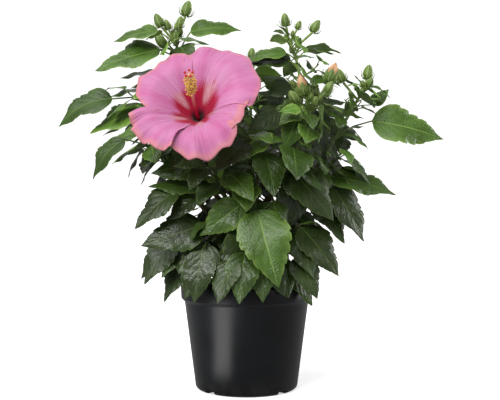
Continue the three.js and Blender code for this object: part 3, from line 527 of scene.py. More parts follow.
# Each mass. A leaf's row is its share up the shoot, heading, stalk, the stalk's pitch, its own pitch, length,
# tilt and arch. A bud's row is its share, heading, pitch, stalk and length. The rows under more and moreBuds
# are only in this scene.
shoots = {
    "top_left": dict(
        bough="bloom", tip=(-69, -10, 340), radius=2.4, leaves=3, twigs=1, phase=70, size=58, lift=0,
        sag=-35, seed=11,
        outline=[
            (0.95, 184, 23, 39, 0, 46, 30, 30), (0.8, 192, 22, 28, -7, 67, 42, 24),
            (0.66, 184, 26, 4, 0, 38, 20, 20), (0.88, 356, 23, 60, 20, 52, 32, 40),
        ],
        buds=[
            (1.0, 20, 68, 26, 17), (0.97, 196, 48, 21, 15), (0.88, 205, 22, 13, 17), (0.93, 250, 62, 7, 9),
            (1.0, 300, 80, 10, 8),
        ],
        moreBuds=[
            (1.0, 350, 74, 13, 12), (0.95, 150, 70, 9, 9), (0.96, 60, 60, 10, 10), (0.9, 250, 50, 6, 8),
            (0.96, 200, 62, 16, 11),
        ],
    ),
    "left_upper": dict(
        bough="left_upper", tip=(-96, 2, 284), radius=2.2, leaves=3, twigs=1, phase=40, size=62, lift=5,
        sag=-30, seed=23,
        outline=[
            (1.0, 196, 36, 0, 0, 64, 48, 66), (0.85, 188, 23, 49, -5, 34, 25, 20),
            (0.6, 202, 23, 35, -17, 62, 45, 22),
        ],
    ),
    "left_middle": dict(
        bough="left", tip=(-90, -32, 234), radius=2.2, leaves=3, phase=300, size=60, lift=-10, sag=-45,
        seed=31,
        outline=[
            (1.0, 200, 28, 19, -27, 51, 26, 60), (0.75, 180, 31, 49, -8, 30, 30, 20),
            (0.9, 240, 8, 36, -46, 28, 10, 16),
        ],
    ),
    "front_left": dict(
        bough="front_left", tip=(-30, -44, 214), radius=2.0, leaves=3, phase=200, size=56, lift=0, sag=-40,
        seed=43,
        outline=[
            (1.0, 190, 12, 24, -3, 50, 34, 24), (0.5, 186, 10, 0, 6, 58, 6, 14),
            (0.3, 196, 44, 0, -22, 54, 22, 24), (0.15, 205, 30, -4, -36, 34, 30, 20),
        ],
        more=[
            (0.3, 275, 9, 50, 62, 14, 10, 26), (0.32, 330, 9, 50, 50, 13, 20, 26),
            (0.34, 215, 9, 46, 48, 13, 20, 26), (0.5, 290, 9, 40, 58, 14, -10, 26),
            (0.55, 345, 8, 44, 44, 12, 20, 26),
        ],
    ),
    "centre_front": dict(
        bough="centre", tip=(2, -50, 246), radius=2.0, leaves=3, twigs=1, phase=20, size=54, lift=10,
        sag=-35, seed=57,
        outline=[(0.75, 232, 14, 10, -24, 48, 0, 26), (0.5, 292, 14, 10, -46, 50, 0, 24)],
        buds=[(0.5, 220, 10, 18, 9), (0.3, 262, 10, 16, 8)],
    ),
    "right_front": dict(
        bough="right_front", tip=(64, -32, 276), radius=2.3, leaves=3, twigs=1, phase=250, size=52,
        lift=-10, sag=-40, seed=61,
        outline=[
            (0.04, 322, 7, 10, -40, 66, 30, 24), (0.85, 225, 14, 10, -60, 40, 0, 20),
            (0.95, 300, 10, 0, -50, 42, -50, 40), (0.9, 200, 22, 9, -37, 26, 20, 20),
            (0.45, 200, 36, 56, -26, 38, 20, 30),
        ],
        buds=[
            (0.93, 196, 66, 15, 21), (1.0, 12, 56, 26, 21), (1.0, 330, 40, 18, 12), (0.88, 190, 40, 16, 14),
        ],
        moreBuds=[
            (1.0, 60, 60, 10, 10), (0.97, 100, 70, 7, 8), (0.95, 250, 65, 9, 8), (0.9, 320, 60, 8, 9),
            (1.0, 200, 80, 9, 7), (0.9, 20, 50, 12, 9), (0.8, 240, 40, 8, 9),
        ],
    ),
    "right_middle": dict(
        bough="right_low", tip=(84, -18, 224), radius=2.2, leaves=3, phase=160, size=60, lift=-20, sag=-50,
        seed=73,
        outline=[
            (0.7, 345, 8, -30, -4, 66, 34, 30), (0.6, 326, 16, -34, -50, 62, 30, 24),
            (0.2, 312, 8, -20, -42, 58, 30, 24),
        ],
    ),
    "right_outer": dict(
        bough="right_outer", tip=(116, 0, 296), radius=2.1, leaves=2, twigs=1, phase=120, size=46, lift=10,
        sag=-30, seed=87,
        outline=[
            (0.4, 352, 36, 21, -5, 74, 58, 26), (0.75, 10, 20, 9, 46, 24, 20, 10),
            (0.8, 350, 8, 30, 10, 20, 20, 20),
        ],
        buds=[(1.0, 30, 70, 8, 16), (0.96, 300, 20, 8, 12), (0.85, 180, 50, 22, 16)],
        moreBuds=[(0.9, 60, 60, 10, 8), (0.8, 200, 60, 8, 7), (0.92, 330, 55, 7, 8), (0.88, 240, 50, 8, 7)],
    ),
    "top_right": dict(
        bough="right", tip=(42, 8, 345), radius=2.3, leaves=3, twigs=1, phase=90, size=54, lift=10, sag=-30,
        seed=97,
        outline=[
            (0.8, 186, 12, 36, 6, 44, 34, 40), (0.8, 352, 10, 50, 10, 32, 10, 28),
            (0.7, 178, 12, 50, 12, 46, 46, 30), (0.5, 10, 12, 40, 30, 27, 30, 20),
        ],
        buds=[(1.0, 200, 76, 12, 14), (0.98, 20, 56, 14, 10), (0.9, 8, 42, 26, 15)],
        moreBuds=[
            (0.5, 200, 30, 6, 10), (0.42, 240, 20, 7, 9), (0.58, 262, 40, 5, 8), (0.8, 230, 50, 9, 9),
            (0.85, 20, 60, 8, 7), (0.94, 280, 60, 9, 7), (0.9, 170, 55, 10, 8),
        ],
    ),
    "back_left": dict(
        bough="back_left", tip=(-78, 96, 284), radius=2.3, leaves=9, twigs=2, phase=130, size=66, lift=5,
        sag=-40, seed=103,
        buds=[(1.0, 120, 66, 16, 13)],
    ),
    "back_right": dict(
        bough="back_right", tip=(82, 92, 280), radius=2.3, leaves=9, twigs=2, phase=20, size=66, lift=5,
        sag=-40, seed=113,
        buds=[(1.0, 60, 60, 18, 14), (0.96, 200, 60, 12, 10)],
    ),
    "back_top": dict(
        bough="back", tip=(4, 84, 318), radius=2.3, leaves=9, twigs=2, phase=60, size=64, lift=10, sag=-35,
        seed=127,
        buds=[(1.0, 80, 70, 18, 14)],
    ),
    "centre_top": dict(
        share=0.99, tip=(12, 0, 272), radius=2.4, leaves=6, phase=40, size=56, lift=5, sag=-35, seed=179,
    ),
    "mid_front": dict(
        share=0.7, tip=(2, -38, 200), radius=2.0, leaves=4, phase=200, size=54, lift=-20, sag=-45, seed=181,
    ),
    "mid_left": dict(
        share=0.52, tip=(-50, 14, 188), radius=2.2, leaves=4, phase=150, size=60, lift=-15, sag=-45,
        seed=191,
    ),
    "mid_right": dict(
        share=0.58, tip=(52, 22, 188), radius=2.2, leaves=4, phase=330, size=60, lift=-15, sag=-45,
        seed=193,
    ),
    "mid_back_left": dict(
        share=0.64, tip=(-26, 60, 194), radius=2.2, leaves=5, phase=80, size=62, lift=-15, sag=-45,
        seed=197,
    ),
    "mid_back_right": dict(
        share=0.5, tip=(26, 62, 190), radius=2.2, leaves=5, phase=30, size=62, lift=-15, sag=-45, seed=199,
    ),
    "low_front": dict(
        share=0.5, tip=(8, -50, 178), radius=2.2, leaves=3, phase=170, size=56, lift=-35, sag=-55, seed=131,
        outline=[
            (0.95, 288, 9, 10, -52, 78, 14, 30), (0.8, 335, 14, 20, -56, 50, 20, 26),
            (0.62, 258, 16, 10, -62, 66, 20, 20), (1.0, 205, 14, 20, -34, 50, 30, 30),
        ],
        more=[
            (0.75, 254, 38, -48, -72, 50, 10, 14), (0.7, 236, 46, -44, -66, 46, -10, 14),
            (0.75, 290, 30, -52, -68, 52, 10, 10), (0.6, 312, 34, -50, -68, 42, 10, 12),
        ],
    ),
    "low_front_left": dict(
        share=0.3, tip=(-36, -42, 156), radius=2.2, leaves=3, phase=210, size=58, lift=-35, sag=-55,
        seed=139,
        outline=[(1.0, 204, 8, 50, -14, 62, 44, 30), (0.8, 240, 14, -6, -54, 58, 30, 26)],
        more=[(0.9, 226, 24, -30, -50, 50, 20, 20)],
    ),
    "low_left": dict(
        share=0.24, tip=(-54, -4, 152), radius=2.2, leaves=2, phase=150, size=60, lift=-35, sag=-60,
        seed=149,
        outline=[(1.0, 190, 10, 0, -30, 64, 35, 50), (0.7, 214, 28, -30, -45, 44, 25, 24)],
        more=[(1.0, 220, 18, -4, -40, 58, 34, 30), (0.9, 232, 12, 0, -50, 50, 30, 26)],
    ),
    "low_right": dict(
        share=0.34, tip=(46, -30, 156), radius=2.2, leaves=2, phase=300, size=60, lift=-35, sag=-58,
        seed=151,
        outline=[
            (1.0, 328, 8, 30, -40, 60, 30, 34), (0.6, 308, 34, -14, -37, 46, 25, 24),
            (0.5, 285, 20, -20, -50, 46, 20, 20),
        ],
        more=[(0.6, 296, 26, -40, -64, 46, 20, 16), (0.9, 300, 12, 10, -48, 48, 20, 24)],
    ),
    "low_back_left": dict(
        share=0.2, tip=(-38, 56, 152), radius=2.2, leaves=6, phase=100, size=64, lift=-30, sag=-58,
        seed=163,
    ),
    "low_back_right": dict(
        share=0.38, tip=(42, 54, 156), radius=2.2, leaves=6, phase=10, size=64, lift=-30, sag=-58, seed=173,
    ),
}
blank = dict(twigs=0, outline=[], buds=[], more=[], moreBuds=[])
for name, habit in shoots.items():
    shoots[name] = dict(blank, name=name, **habit)


def shootLimb(shoot):
    tip = Vector(shoot["tip"])
    if "bough" not in shoot:
        return limbBetween(trunkAt(shoot["share"]), tip)
    bough = boughLimbs[shoot["bough"]]
    lean = runOf(bough, 1)
    start = bough[2] + lean * rule["sink"]
    return start, start + lean * (tip - start).length * rule["lean"], tip


def placed(limb, leaf):
    # where the leaf's stalk and blade start, and the blade's own directions
    foot = along(limb, leaf["at"])
    base = foot + compass(leaf["stalkHeading"], leaf["stalkPitch"]) * leaf["stalk"]
    forward = compass(leaf["heading"], leaf["pitch"])
    wanted = up + Vector((base.x, base.y, 0)).normalized() * rule["outwards"]
    normal = (wanted - forward * forward.dot(wanted)).normalized()
    normal.rotate(Quaternion(forward, radians(leaf["roll"])))
    return dict(leaf, foot=foot, base=base, forward=forward, normal=normal, side=normal.cross(forward))


def outline(t):
    # the blade's width along it: ovate, with a drawn-out tip
    return np.sin(pi * t**0.62) ** 0.9 * (1 - 0.22 * t * t)


def bladeSpots(leaf, t, u, rise):
    # points of the blade: t along it, u across it from -1 to 1, rise above it
    arch, fold = radians(leaf["arch"]), radians(leaf["fold"])
    half = 0.5 * leaf["width"] * outline(t) * np.abs(u)
    lift = half * sin(fold) + rise
    run = leaf["length"] * np.sin(arch * t) / arch + lift * np.sin(arch * t)
    height = lift * np.cos(arch * t) - leaf["length"] * (1 - np.cos(arch * t)) / arch
    ways = np.array([leaf["forward"], leaf["side"], leaf["normal"]])
    return np.array(leaf["base"]) + np.stack([run, np.sign(u) * half * cos(fold), height], 1) @ ways


def bladeTip(leaf):
    return bladeSpots(leaf, np.array([1.0]), np.array([0.0]), 0)[0]


def outlineLeaf(at, heading, stalk, stalkPitch, pitch, length, tilt, arch):
    return dict(
        at=at, heading=heading, stalkHeading=heading, stalk=stalk, stalkPitch=stalkPitch, pitch=pitch,
        length=length, arch=arch, width=length * rule["blade"], fold=rule["fold"][0],
        roll=tilt * copysign(1, cos(radians(heading))),
    )


def ruleLeaves(limb, count, firstLeaf, habit, draw):
    leaves = []
    for i in range(count):
        at = firstLeaf + (1 - firstLeaf) * (i + 0.5) / count
        spiral = spread(draw, habit["phase"] + i * goldenAngle, rule["spiral"])
        outwards = (headingOf(along(limb, at)) - spiral + 180) % 360 - 180
        heading = spiral + rule["lightPull"] * outwards
        length = habit["size"] * (1 - rule["shrink"] * at * at) * spread(draw, 1, rule["length"])
        leaves.append(dict(
            at=at, heading=heading, stalkHeading=heading, length=length,
            pitch=spread(draw, between(habit["sag"], habit["lift"], at), rule["pitch"]),
            width=length * rule["blade"] * spread(draw, 1, rule["width"]),
            stalk=length * between(*rule["stalk"], at),
            stalkPitch=spread(draw, between(*rule["stalkPitch"][:2], at), rule["stalkPitch"][2]),
            arch=spread(draw, *rule["arch"]), fold=spread(draw, *rule["fold"]),
            roll=spread(draw, 0, rule["roll"]),
        ))
    return leaves


def twigCurve(start, rise, reach, habit):
    bend = start + rise * reach * habit["bend"]
    return start, bend, bend + (rise + up * habit["lift"]).normalized() * reach * 0.5


def ruleTwig(shoot, limb, index, draw):
    share = (index + 0.5) / shoot["twigs"]
    start = along(limb, twigRule["start"] + twigRule["spread"] * share + spread(draw, 0, twigRule["shift"]))
    side = 1 if index % 2 == 0 else -1
    heading = headingOf(start) + side * spread(draw, *twigRule["turn"])
    rise = compass(heading, spread(draw, *twigRule["pitch"]))
    return twigCurve(start, rise, shoot["size"] * spread(draw, *twigRule["reach"]), twigRule)


def nodeSpots(name):
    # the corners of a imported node, to see which of the rule's leaves found room there
    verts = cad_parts[name].data.vertices
    spots = kdtree.KDTree(len(verts))
    for v in verts:
        spots.insert(v.co / mm, v.index)
    spots.balance()
    return lambda spot: spots.find(spot)[2] < 0.05


def fitted(limb, wanted, tries, fits):
    # the first of the tried turns and dips of a leaf that fits
    for turn in tries["turns"]:
        for dip in tries["dips"]:
            leaf = placed(limb, dict(
                wanted, heading=wanted["heading"] + turn, pitch=wanted["pitch"] + dip,
                stalkHeading=wanted["stalkHeading"] + turn * tries["stalkShare"],
            ))
            if fits(leaf):
                return leaf
    return None


# What the scene adds to the rule: small side twigs, young leaves and stipules, clear of all that is there.
finer = dict(
    twigs=7, start=0.12, spread=0.8, turn=(60, 20), pitch=(22, 18), reach=(0.42, 0.14), bend=0.5, lift=0.5,
    radius=(0.42, 0.28), leaves=3, firstLeaf=0.25, leafSize=0.6, twigRoom=2.5, clear=4.0, crowded=2.6, beyond=9,
)
young = dict(
    count=6, step=0.03, turn=30, size=(17, 6), width=0.5, pitch=(42, 18), stalk=0.32, stalkPitch=(48, 14),
    arch=(26, 14), fold=24, roll=16,
)
stipules = dict(count=12, start=0.6, turn=50, pitch=(40, 18), length=(6.5, 1.8), radii=(0.75, 0.12))
# How much fresher some of the outer leaves are, and how much darker, by their order in the mass: the darker
# ones carry their own deeper green and painted shade where they hang in shadow.
freshnessAndPaintedShade = {
    "low_front": {0: 0.1}, "low_front_left": {0: -0.5, 1: -0.1}, "low_left": {0: -0.3, 1: -0.2},
    "low_right": {0: -0.1, 1: -0.4}, "left_middle": {2: -0.5}, "left_upper": {0: -0.15, 1: -0.1},
    "right_outer": {0: 0.25}, "centre_front": {0: -0.2, 1: -0.2}, "front_left": {0: -0.05, 1: 0.12, 2: -0.15},
    "top_left": {0: -0.05, 1: 0.05, 3: 0.1, 6: -0.5}, "top_right": {0: 0.2, 2: -0.3},
    "right_front": {0: 0.1, 4: -0.1}, "right_middle": {0: 0.1, 1: -0.3, 2: -0.2},
}
# Where the crown stays open from front to back: x and z.
openPlaces = [
    (60, 250), (68, 244), (76, 246), (86, 238), (22, 226), (34, 222), (-98, 324), (-92, 327), (-85, 330),
    (-78, 318),
]
wood = dict(shootSides=8, stalkRadius=1.0, stalkTip=0.75, stalkEnd=0.5, budStalk=1.05)
stems, blades, buds = [], [], []  # what has grown: tubes as points and radii, placed leaves, placed buds
taken = []  # points that later growth keeps clear of


def block(points):
    taken.append(np.array([tuple(p) for p in points], dtype=float).reshape(-1, 3))


def isClear(points, gap):
    if len(taken) > 1:
        taken[:] = [np.concatenate(taken)]
    spots = np.array(points, dtype=float).reshape(-1, 3)
    low, high = spots.min(0) - gap, spots.max(0) + gap
    near = taken[0][((taken[0] > low) & (taken[0] < high)).all(1)]
    return len(near) == 0 or float(((spots[:, None] - near[None]) ** 2).sum(2).min()) > gap * gap


def hasRoom(spots, reach, gap):
    return (spots > reach[0]).all() and (spots < reach[1]).all() and isClear(spots, gap)


def reachOf(shoot):
    # each mass keeps to its own reach
    low, high = [np.array(tuple(corner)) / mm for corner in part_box("foliage_" + shoot["name"])]
    return low - finer["beyond"], high + finer["beyond"]


def bladeSamples(leaf):
    t, u = np.meshgrid((0.08, 0.25, 0.45, 0.65, 0.85, 1.0), (-0.85, 0.0, 0.85))
    return bladeSpots(leaf, t.ravel(), u.ravel(), 0)


def addLeaf(shoot, leaf, fresh, shade=0):
    middle = leaf["foot"].lerp(leaf["base"], 0.5) + up * (0.05 * leaf["stalk"])
    end = Vector(bladeSpots(leaf, np.array([0.06]), np.array([0.0]), 0)[0])
    slim = min(1, 0.45 + leaf["length"] / 90)
    radii = [wood[key] * slim for key in ("stalkRadius", "stalkTip", "stalkTip", "stalkEnd")]
    stems.append(([leaf["foot"], middle, leaf["base"], end], radii))
    blades.append(dict(leaf, fresh=fresh, shade=shade))
    block(bladeSamples(leaf))


def budAxis(rise):
    return (rise + up * 0.6).normalized()


def placeBud(foot, rise, stalk, length):
    base, axis = foot + rise * stalk, budAxis(rise)
    thick = wood["budStalk"] * min(1, 0.5 + length / 30)
    stems.append(runAlong((foot, foot + rise * stalk * 0.6, base), thick, thick * 1.25, 5))
    buds.append(dict(base=base, axis=axis, length=length))
    block([base + axis * length * s for s in (0.1, 0.5, 0.9)])


def addStipules(shoot, limb):
    # small points that stand up round the young end of a shoot
    draw = makeRandom(shoot["seed"] + 900)
    for i in range(stipules["count"]):
        foot = along(limb, between(stipules["start"], 1, (i + 0.5) / stipules["count"]))
        rise = compass(shoot["phase"] + stipules["turn"] + i * goldenAngle, spread(draw, *stipules["pitch"]))
        length = spread(draw, *stipules["length"])
        point = (foot, foot + rise * length * 0.6, foot + rise * length * 0.8 + up * length * 0.35)
        stems.append(runAlong(point, *stipules["radii"], 4))


def growMass(shoot):
    limb = shoot["limb"] = shootLimb(shoot)
    hasCorner = nodeSpots("foliage_" + shoot["name"])
    stems.append(runAlong(limb, shoot["radius"], shoot["radius"] * rule["shootTaper"], 14))
    block([along(limb, i / 20) for i in range(21)])
    addStipules(shoot, limb)
    for at, heading, pitch, stalk, length in shoot["buds"]:
        foot, rise = along(limb, at), compass(heading, pitch)
        if hasCorner(foot + rise * stalk + budAxis(rise) * length):
            placeBud(foot, rise, stalk, length)
    draw = makeRandom(shoot["seed"])
    wanted = [(-1, outlineLeaf(*row)) for row in shoot["outline"]]
    wanted += [(-1, leaf) for leaf in ruleLeaves(limb, shoot["leaves"], rule["firstLeaf"], shoot, draw)]
    twigs = []
    for i in range(shoot["twigs"]):
        twig = ruleTwig(shoot, limb, i, draw)
        habit = dict(shoot, size=shoot["size"] * twigRule["leafSize"])
        twigs.append(twig)
        made = ruleLeaves(twig, twigRule["leaves"], twigRule["firstLeaf"], habit, draw)
        wanted += [(i, leaf) for leaf in made]
    bearing = set()
    # each leaf's listed shift: a fresher tone, and painted shade for leaves that hang in shadow
    shades = freshnessAndPaintedShade.get(shoot["name"], {})
    for i, (stem, leaf) in enumerate(wanted):
        holder = limb if stem < 0 else twigs[stem]
        leaf = fitted(holder, leaf, ruleTries, lambda leaf: hasCorner(bladeTip(leaf)))
        if leaf:
            bearing.add(stem)
            addLeaf(shoot, leaf, leaf["at"] * 0.7, shades.get(i, 0))
    for i, twig in enumerate(twigs):
        if i in bearing:
            stems.append(runAlong(twig, *[shoot["radius"] * share for share in twigRule["radius"]], 6))
            block([along(twig, i / 8) for i in range(9)])


def growMore(shoot):
    reach = reachOf(shoot)
    for at, heading, pitch, stalk, length in shoot["moreBuds"]:
        foot, rise = along(shoot["limb"], at), compass(heading, pitch)
        tip = foot + rise * (stalk + length)
        if hasRoom(np.array([tuple(tip), tuple(tip - rise * length * 0.5)]), reach, finer["crowded"]):
            placeBud(foot, rise, stalk, length)
    for row in shoot["more"]:
        leaf = fitted(
            shoot["limb"], outlineLeaf(*row), finerTries,
            lambda leaf: hasRoom(bladeSamples(leaf), reach, finer["crowded"]),
        )
        if leaf:
            addLeaf(shoot, leaf, 0.3 if leaf["length"] > 20 else 1.4)


def growFiner(shoot):
    reach = reachOf(shoot)
    draw = makeRandom(shoot["seed"] + 500)
    limb = shoot["limb"]

    def clear(leaf):
        return hasRoom(bladeSamples(leaf), reach, finer["clear"])

    for i in range(finer["twigs"]):
        start = along(limb, finer["start"] + finer["spread"] * (i + 0.5) / finer["twigs"])
        heading = shoot["phase"] + finer["turn"][0] + i * goldenAngle + spread(draw, 0, finer["turn"][1])
        rise = compass(heading, spread(draw, *finer["pitch"]))
        twig = twigCurve(start, rise, shoot["size"] * spread(draw, *finer["reach"]), finer)
        habit = dict(shoot, size=shoot["size"] * finer["leafSize"], phase=heading)
        leaves = ruleLeaves(twig, finer["leaves"], finer["firstLeaf"], habit, draw)
        if not isClear([along(twig, 0.6), along(twig, 1)], finer["twigRoom"]):
            continue
        bears = False
        for leaf in leaves:
            leaf = fitted(twig, leaf, finerTries, clear)
            if leaf:
                addLeaf(shoot, leaf, 0.25 + 0.5 * leaf["at"])
                bears = True
        if bears:
            stems.append(runAlong(twig, *[shoot["radius"] * share for share in finer["radius"]], 6))
            block([along(twig, s) for s in (0.4, 0.7, 1)])
    for i in range(young["count"]):
        length = spread(draw, *young["size"])
        heading = shoot["phase"] + young["turn"] + i * goldenAngle
        leaf = fitted(limb, dict(
            at=1 - young["step"] * i, heading=heading, stalkHeading=heading,
            pitch=spread(draw, *young["pitch"]),
            length=length, width=length * young["width"], stalk=length * young["stalk"],
            stalkPitch=spread(draw, *young["stalkPitch"]), arch=spread(draw, *young["arch"]),
            fold=young["fold"],
            roll=spread(draw, 0, young["roll"]),
        ), finerTries, clear)
        if leaf:
            addLeaf(shoot, leaf, 1)


for shoot in shoots.values():
    growMass(shoot)
for limb in boughLimbs.values():
    block([along(limb, i / 20) for i in range(21)])
block([trunkAt(i / 20) for i in range(21)])
for node in ("bloom_corolla", "bloom_column", "bloom_calyx"):
    block([v.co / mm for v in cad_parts[node].data.vertices])
block([compass(turn, 0) * pot["rimRadius"] + up * pot["height"] for turn in range(0, 360, 4)])
for x, z in openPlaces:
    block([(x, y, z) for y in range(-70, 95, 8)])
fromRule = len(blades)
for shoot in shoots.values():
    growMore(shoot)
for shoot in shoots.values():
    growFiner(shoot)
print(fromRule, "leaves by the rule,", len(blades) - fromRule, "finer ones,", len(buds), "buds")


# Leaves: one grid bent into each blade, domed between a sunk midrib and a toothed, wavy edge whose paleness is
# its own margin tint and a painted highlight.
leafForm = dict(
    teeth=8, toothDepth=0.095, smoothFoot=0.2, rib=0.03, hem=0.955, sink=0.012, dome=0.1,
    wave=0.055, waves=1.9, sweep=0.07,
)
# What makes a leaf's tone: how fresh it is, how high it hangs, chance, and being small high up.
toneRule = dict(fresh=0.42, high=0.26, chance=(0.06, 0.2), small=0.16)
toothSteps = np.array([(-0.35, -0.12), (0.6, 0.05), (1.0, 0.62)])  # each tooth's rise, and its lean to the tip


def leafTemplate():
    rows = leafForm["teeth"] * len(toothSteps)
    across = [-1, -leafForm["hem"], -0.5, -leafForm["rib"], leafForm["rib"], 0.5, leafForm["hem"], 1]
    strips = len(across) - 1
    bm = bmesh.new()
    bmesh.ops.create_grid(bm, x_segments=rows, y_segments=strips, size=1)
    own = bm.loops.layers.uv.new("own")
    for v in bm.verts:
        v.co = ((v.co.x + 1) / 2, across[round((v.co.y + 1) / 2 * strips)], 0)
    for face in bm.faces:
        middle = abs(face.calc_center_median().y)
        face.smooth = True
        # the midrib and the edge strip take the rib look; the edge strip's pale tone is partly a painted
        # highlight where light catches the rim
        face.material_index = 1 if middle < leafForm["rib"] or middle > leafForm["hem"] else 0
        for loop in face.loops:
            loop[own].uv = (0.5 + 0.5 * loop.vert.co.y, loop.vert.co.x)
    for end in (0, 1):
        row = [v for v in bm.verts if abs(v.co.x - end) < 1e-4]
        bmesh.ops.pointmerge(bm, verts=row, merge_co=(end, 0, 0))
    bmesh.ops.recalc_face_normals(bm, faces=bm.faces)
    if bm.faces[0].normal.z < 0:
        bmesh.ops.reverse_faces(bm, faces=bm.faces)
    mesh = bpy.data.meshes.new("leaf")
    bm.to_mesh(mesh)
    bm.free()
    return mesh


def shapeLeaf(mesh, grid, leaf, draw):
    # bends the flat grid into this leaf
    t, u = grid[:, 0].copy(), grid[:, 1].copy()
    rows = leafForm["teeth"] * len(toothSteps)
    row = np.round(t * rows).astype(int)
    ends = np.clip((t - leafForm["smoothFoot"]) / 0.2, 0, 1) * np.clip((1.02 - t) / 0.15, 0, 1)
    bite, lean = toothSteps[row % len(toothSteps)].T * ends * (np.abs(u) > 0.9)
    wide = 1 + leafForm["toothDepth"] * bite * (0.6 + leaf["length"] / 150)
    t = np.clip(t + lean / rows, 0, 1)
    phase = draw() * 2 * pi
    wave = leafForm["wave"] * np.sin(t * 2 * pi * leafForm["waves"] + phase + np.sign(u) * 0.9)
    middle = np.sin(pi * np.clip(t, 0, 1)) ** 0.6
    rise = leaf["width"] * middle * (wave * u * u - leafForm["dome"] * np.abs(u) ** 2.4)
    rise -= leafForm["sink"] * leaf["length"] * (np.abs(u) < 0.1) * middle
    spots = bladeSpots(dict(leaf, width=leaf["width"] * 1.04), t, u * wide, rise)
    spots += np.outer(t * t * leaf["length"] * spread(draw, 0, leafForm["sweep"]), np.array(leaf["side"]))
    mesh.vertices.foreach_set("co", spots.ravel())


def makeLeaves(tones):
    mesh = leafTemplate()
    grid = np.array([tuple(v.co) for v in mesh.vertices])
    piles = [bmesh.new() for _ in tones]
    draw = makeRandom(907)
    for leaf in blades:
        shapeLeaf(mesh, grid, leaf, draw)
        height = leaf["base"].z / cadBox[1].z * mm
        tone = toneRule["fresh"] * leaf["fresh"] + toneRule["high"] * smoothStep(0.3, 1, height)
        # the leaf's listed shade: a fresher tone, and painted shade for leaves that hang in shadow
        tone += spread(draw, *toneRule["chance"]) + leaf["shade"]
        tone += toneRule["small"] * smoothStep(34, 20, leaf["length"]) * smoothStep(0.5, 0.8, height)
        piles[min(len(tones) - 1, max(0, int(tone * len(tones))))].from_mesh(mesh)
    bpy.data.meshes.remove(mesh)
    for (name, looks), pile in zip(tones, piles):
        finish(pile, name, looks, "foliage", *["foliage_" + mass for mass in shoots])


# Buds: a ribbed calyx, a twist of petals between its pointed sepals where the bud is ripe, and fine bracts.
budForm = dict(
    girth=0.28, ripe=19, bracts=8, sepals=0.62, notch=0.24, rib=0.36, ribHeights=(0.06, 0.3, 0.6, 0.82, 1),
    ripeRib=(0.62, 1.05, 1.02, 0.9, 0.62), greenRib=(0.62, 1.07, 1.0, 0.76, 0.36), greenTop=0.92,
    cup=((0, 0.3), (0.05, 0.62), (0.28, 1), (0.5, 1), (0.7, 0.8), (0.9, 0.45)),
    green=((0, 0), (0.08, 0.6), (0.3, 1), (0.55, 0.97), (0.8, 0.68), (0.93, 0.36), (1, 0)),
    petals=((0, 0), (0.1, 0.6), (0.35, 0.93), (0.6, 0.84), (0.82, 0.45), (1, 0)),
    bract=((0.04, 0.5), (0.06, 1.7), (0.5, 1.55)),
)


def roundAxis(base, axis):
    # gives the place of a height, radius and angle round an axis
    side = axis.orthogonal().normalized()
    other = axis.cross(side)

    def spotAt(height, radius, angle):
        return base + axis * height + side * (radius * cos(angle)) + other * (radius * sin(angle))

    return spotAt


def swell(bm, spotAt, length, wide, profile, lobes, twist, turns, rings):
    # a ball drawn out along an axis: profile gives shares of the length and of the width
    made = bmesh.ops.create_uvsphere(bm, u_segments=turns, v_segments=rings, radius=1)["verts"]
    heights, radii = [share for share, _ in profile], [wide * s for _, s in profile]
    for v in made:
        share = acos(max(-1, min(1, -v.co.z))) / pi
        angle = atan2(v.co.y, v.co.x)
        r = float(np.interp(share, heights, radii)) * (1 + lobes * cos(5 * angle + twist * share))
        v.co = spotAt(length * share, r, angle)


def sepalCup(bm, spotAt, low, high, notch, heights, radii, steps=(18, 60)):
    # a thin cup whose rim runs out into five points
    cup = bmesh.ops.create_grid(bm, x_segments=steps[0], y_segments=steps[1], size=1)["verts"]
    for v in cup:
        t, angle = (v.co.x + 1) / 2, (v.co.y + 1) * pi
        point = 0.5 + 0.5 * cos(5 * angle)
        height = between(low, high - notch * (1 - point) ** 1.5 * smoothStep(0.4, 1, t), t)
        radius = float(np.interp(height, heights, radii)) * (1 + 0.03 * cos(5 * angle))
        v.co = spotAt(height, radius, angle)
    bmesh.ops.remove_doubles(bm, verts=cup, dist=0.01)
    faces = list({face for v in cup if v.is_valid for face in v.link_faces})
    bmesh.ops.recalc_face_normals(bm, faces=faces)
    bmesh.ops.solidify(bm, geom=faces, thickness=0.5)


def makeBuds(greenLook, ribLook, petalLook):
    green, petals = bmesh.new(), bmesh.new()
    fringe, ribs = [], []
    for bud in buds:
        base, axis, length = bud["base"], bud["axis"], bud["length"]
        wide = length * budForm["girth"]
        spotAt = roundAxis(base, axis)
        top, widths = budForm["greenTop"], budForm["greenRib"]
        if length > budForm["ripe"]:
            top, widths = budForm["sepals"], budForm["ripeRib"]
            heights, radii = [length * h for h, _ in budForm["cup"]], [wide * r for _, r in budForm["cup"]]
            sepalCup(green, spotAt, 0, length * top, length * budForm["notch"], heights, radii, (10, 40))
            inner = roundAxis(base + axis * length * 0.1, axis)
            swell(petals, inner, length * 0.9, wide, budForm["petals"], 0.06, 3.0, 25, 12)
        else:
            swell(green, spotAt, length * 0.98, wide, budForm["green"], 0.06, 0.0, 20, 10)
        for i in range(5):  # raised pale ribs along the sepals
            places = zip([top * h for h in budForm["ribHeights"]], widths)
            line = [spotAt(length * h, wide * r, 2 * pi * i / 5) for h, r in places]
            thick = budForm["rib"] * min(1, length / 16)
            ribs.append((line, [thick * s for s in (1, 1, 0.9, 0.7, 0.3)]))
        for i in range(budForm["bracts"]):
            angle = 2 * pi * (i + 0.3 * (i % 2)) / budForm["bracts"]
            bract = [spotAt(length * h, wide * r, angle) for h, r in budForm["bract"]]
            fringe.append(runAlong(bract, 0.04 * length, 0.012 * length, 5))
    addTubes(green, fringe, 4)
    addTubes(green, ribs, 6, 1)
    finish(green, "bud_calyces", [greenLook, ribLook], "bracts")
    finish(petals, "bud_petals", [petalLook], "petals")


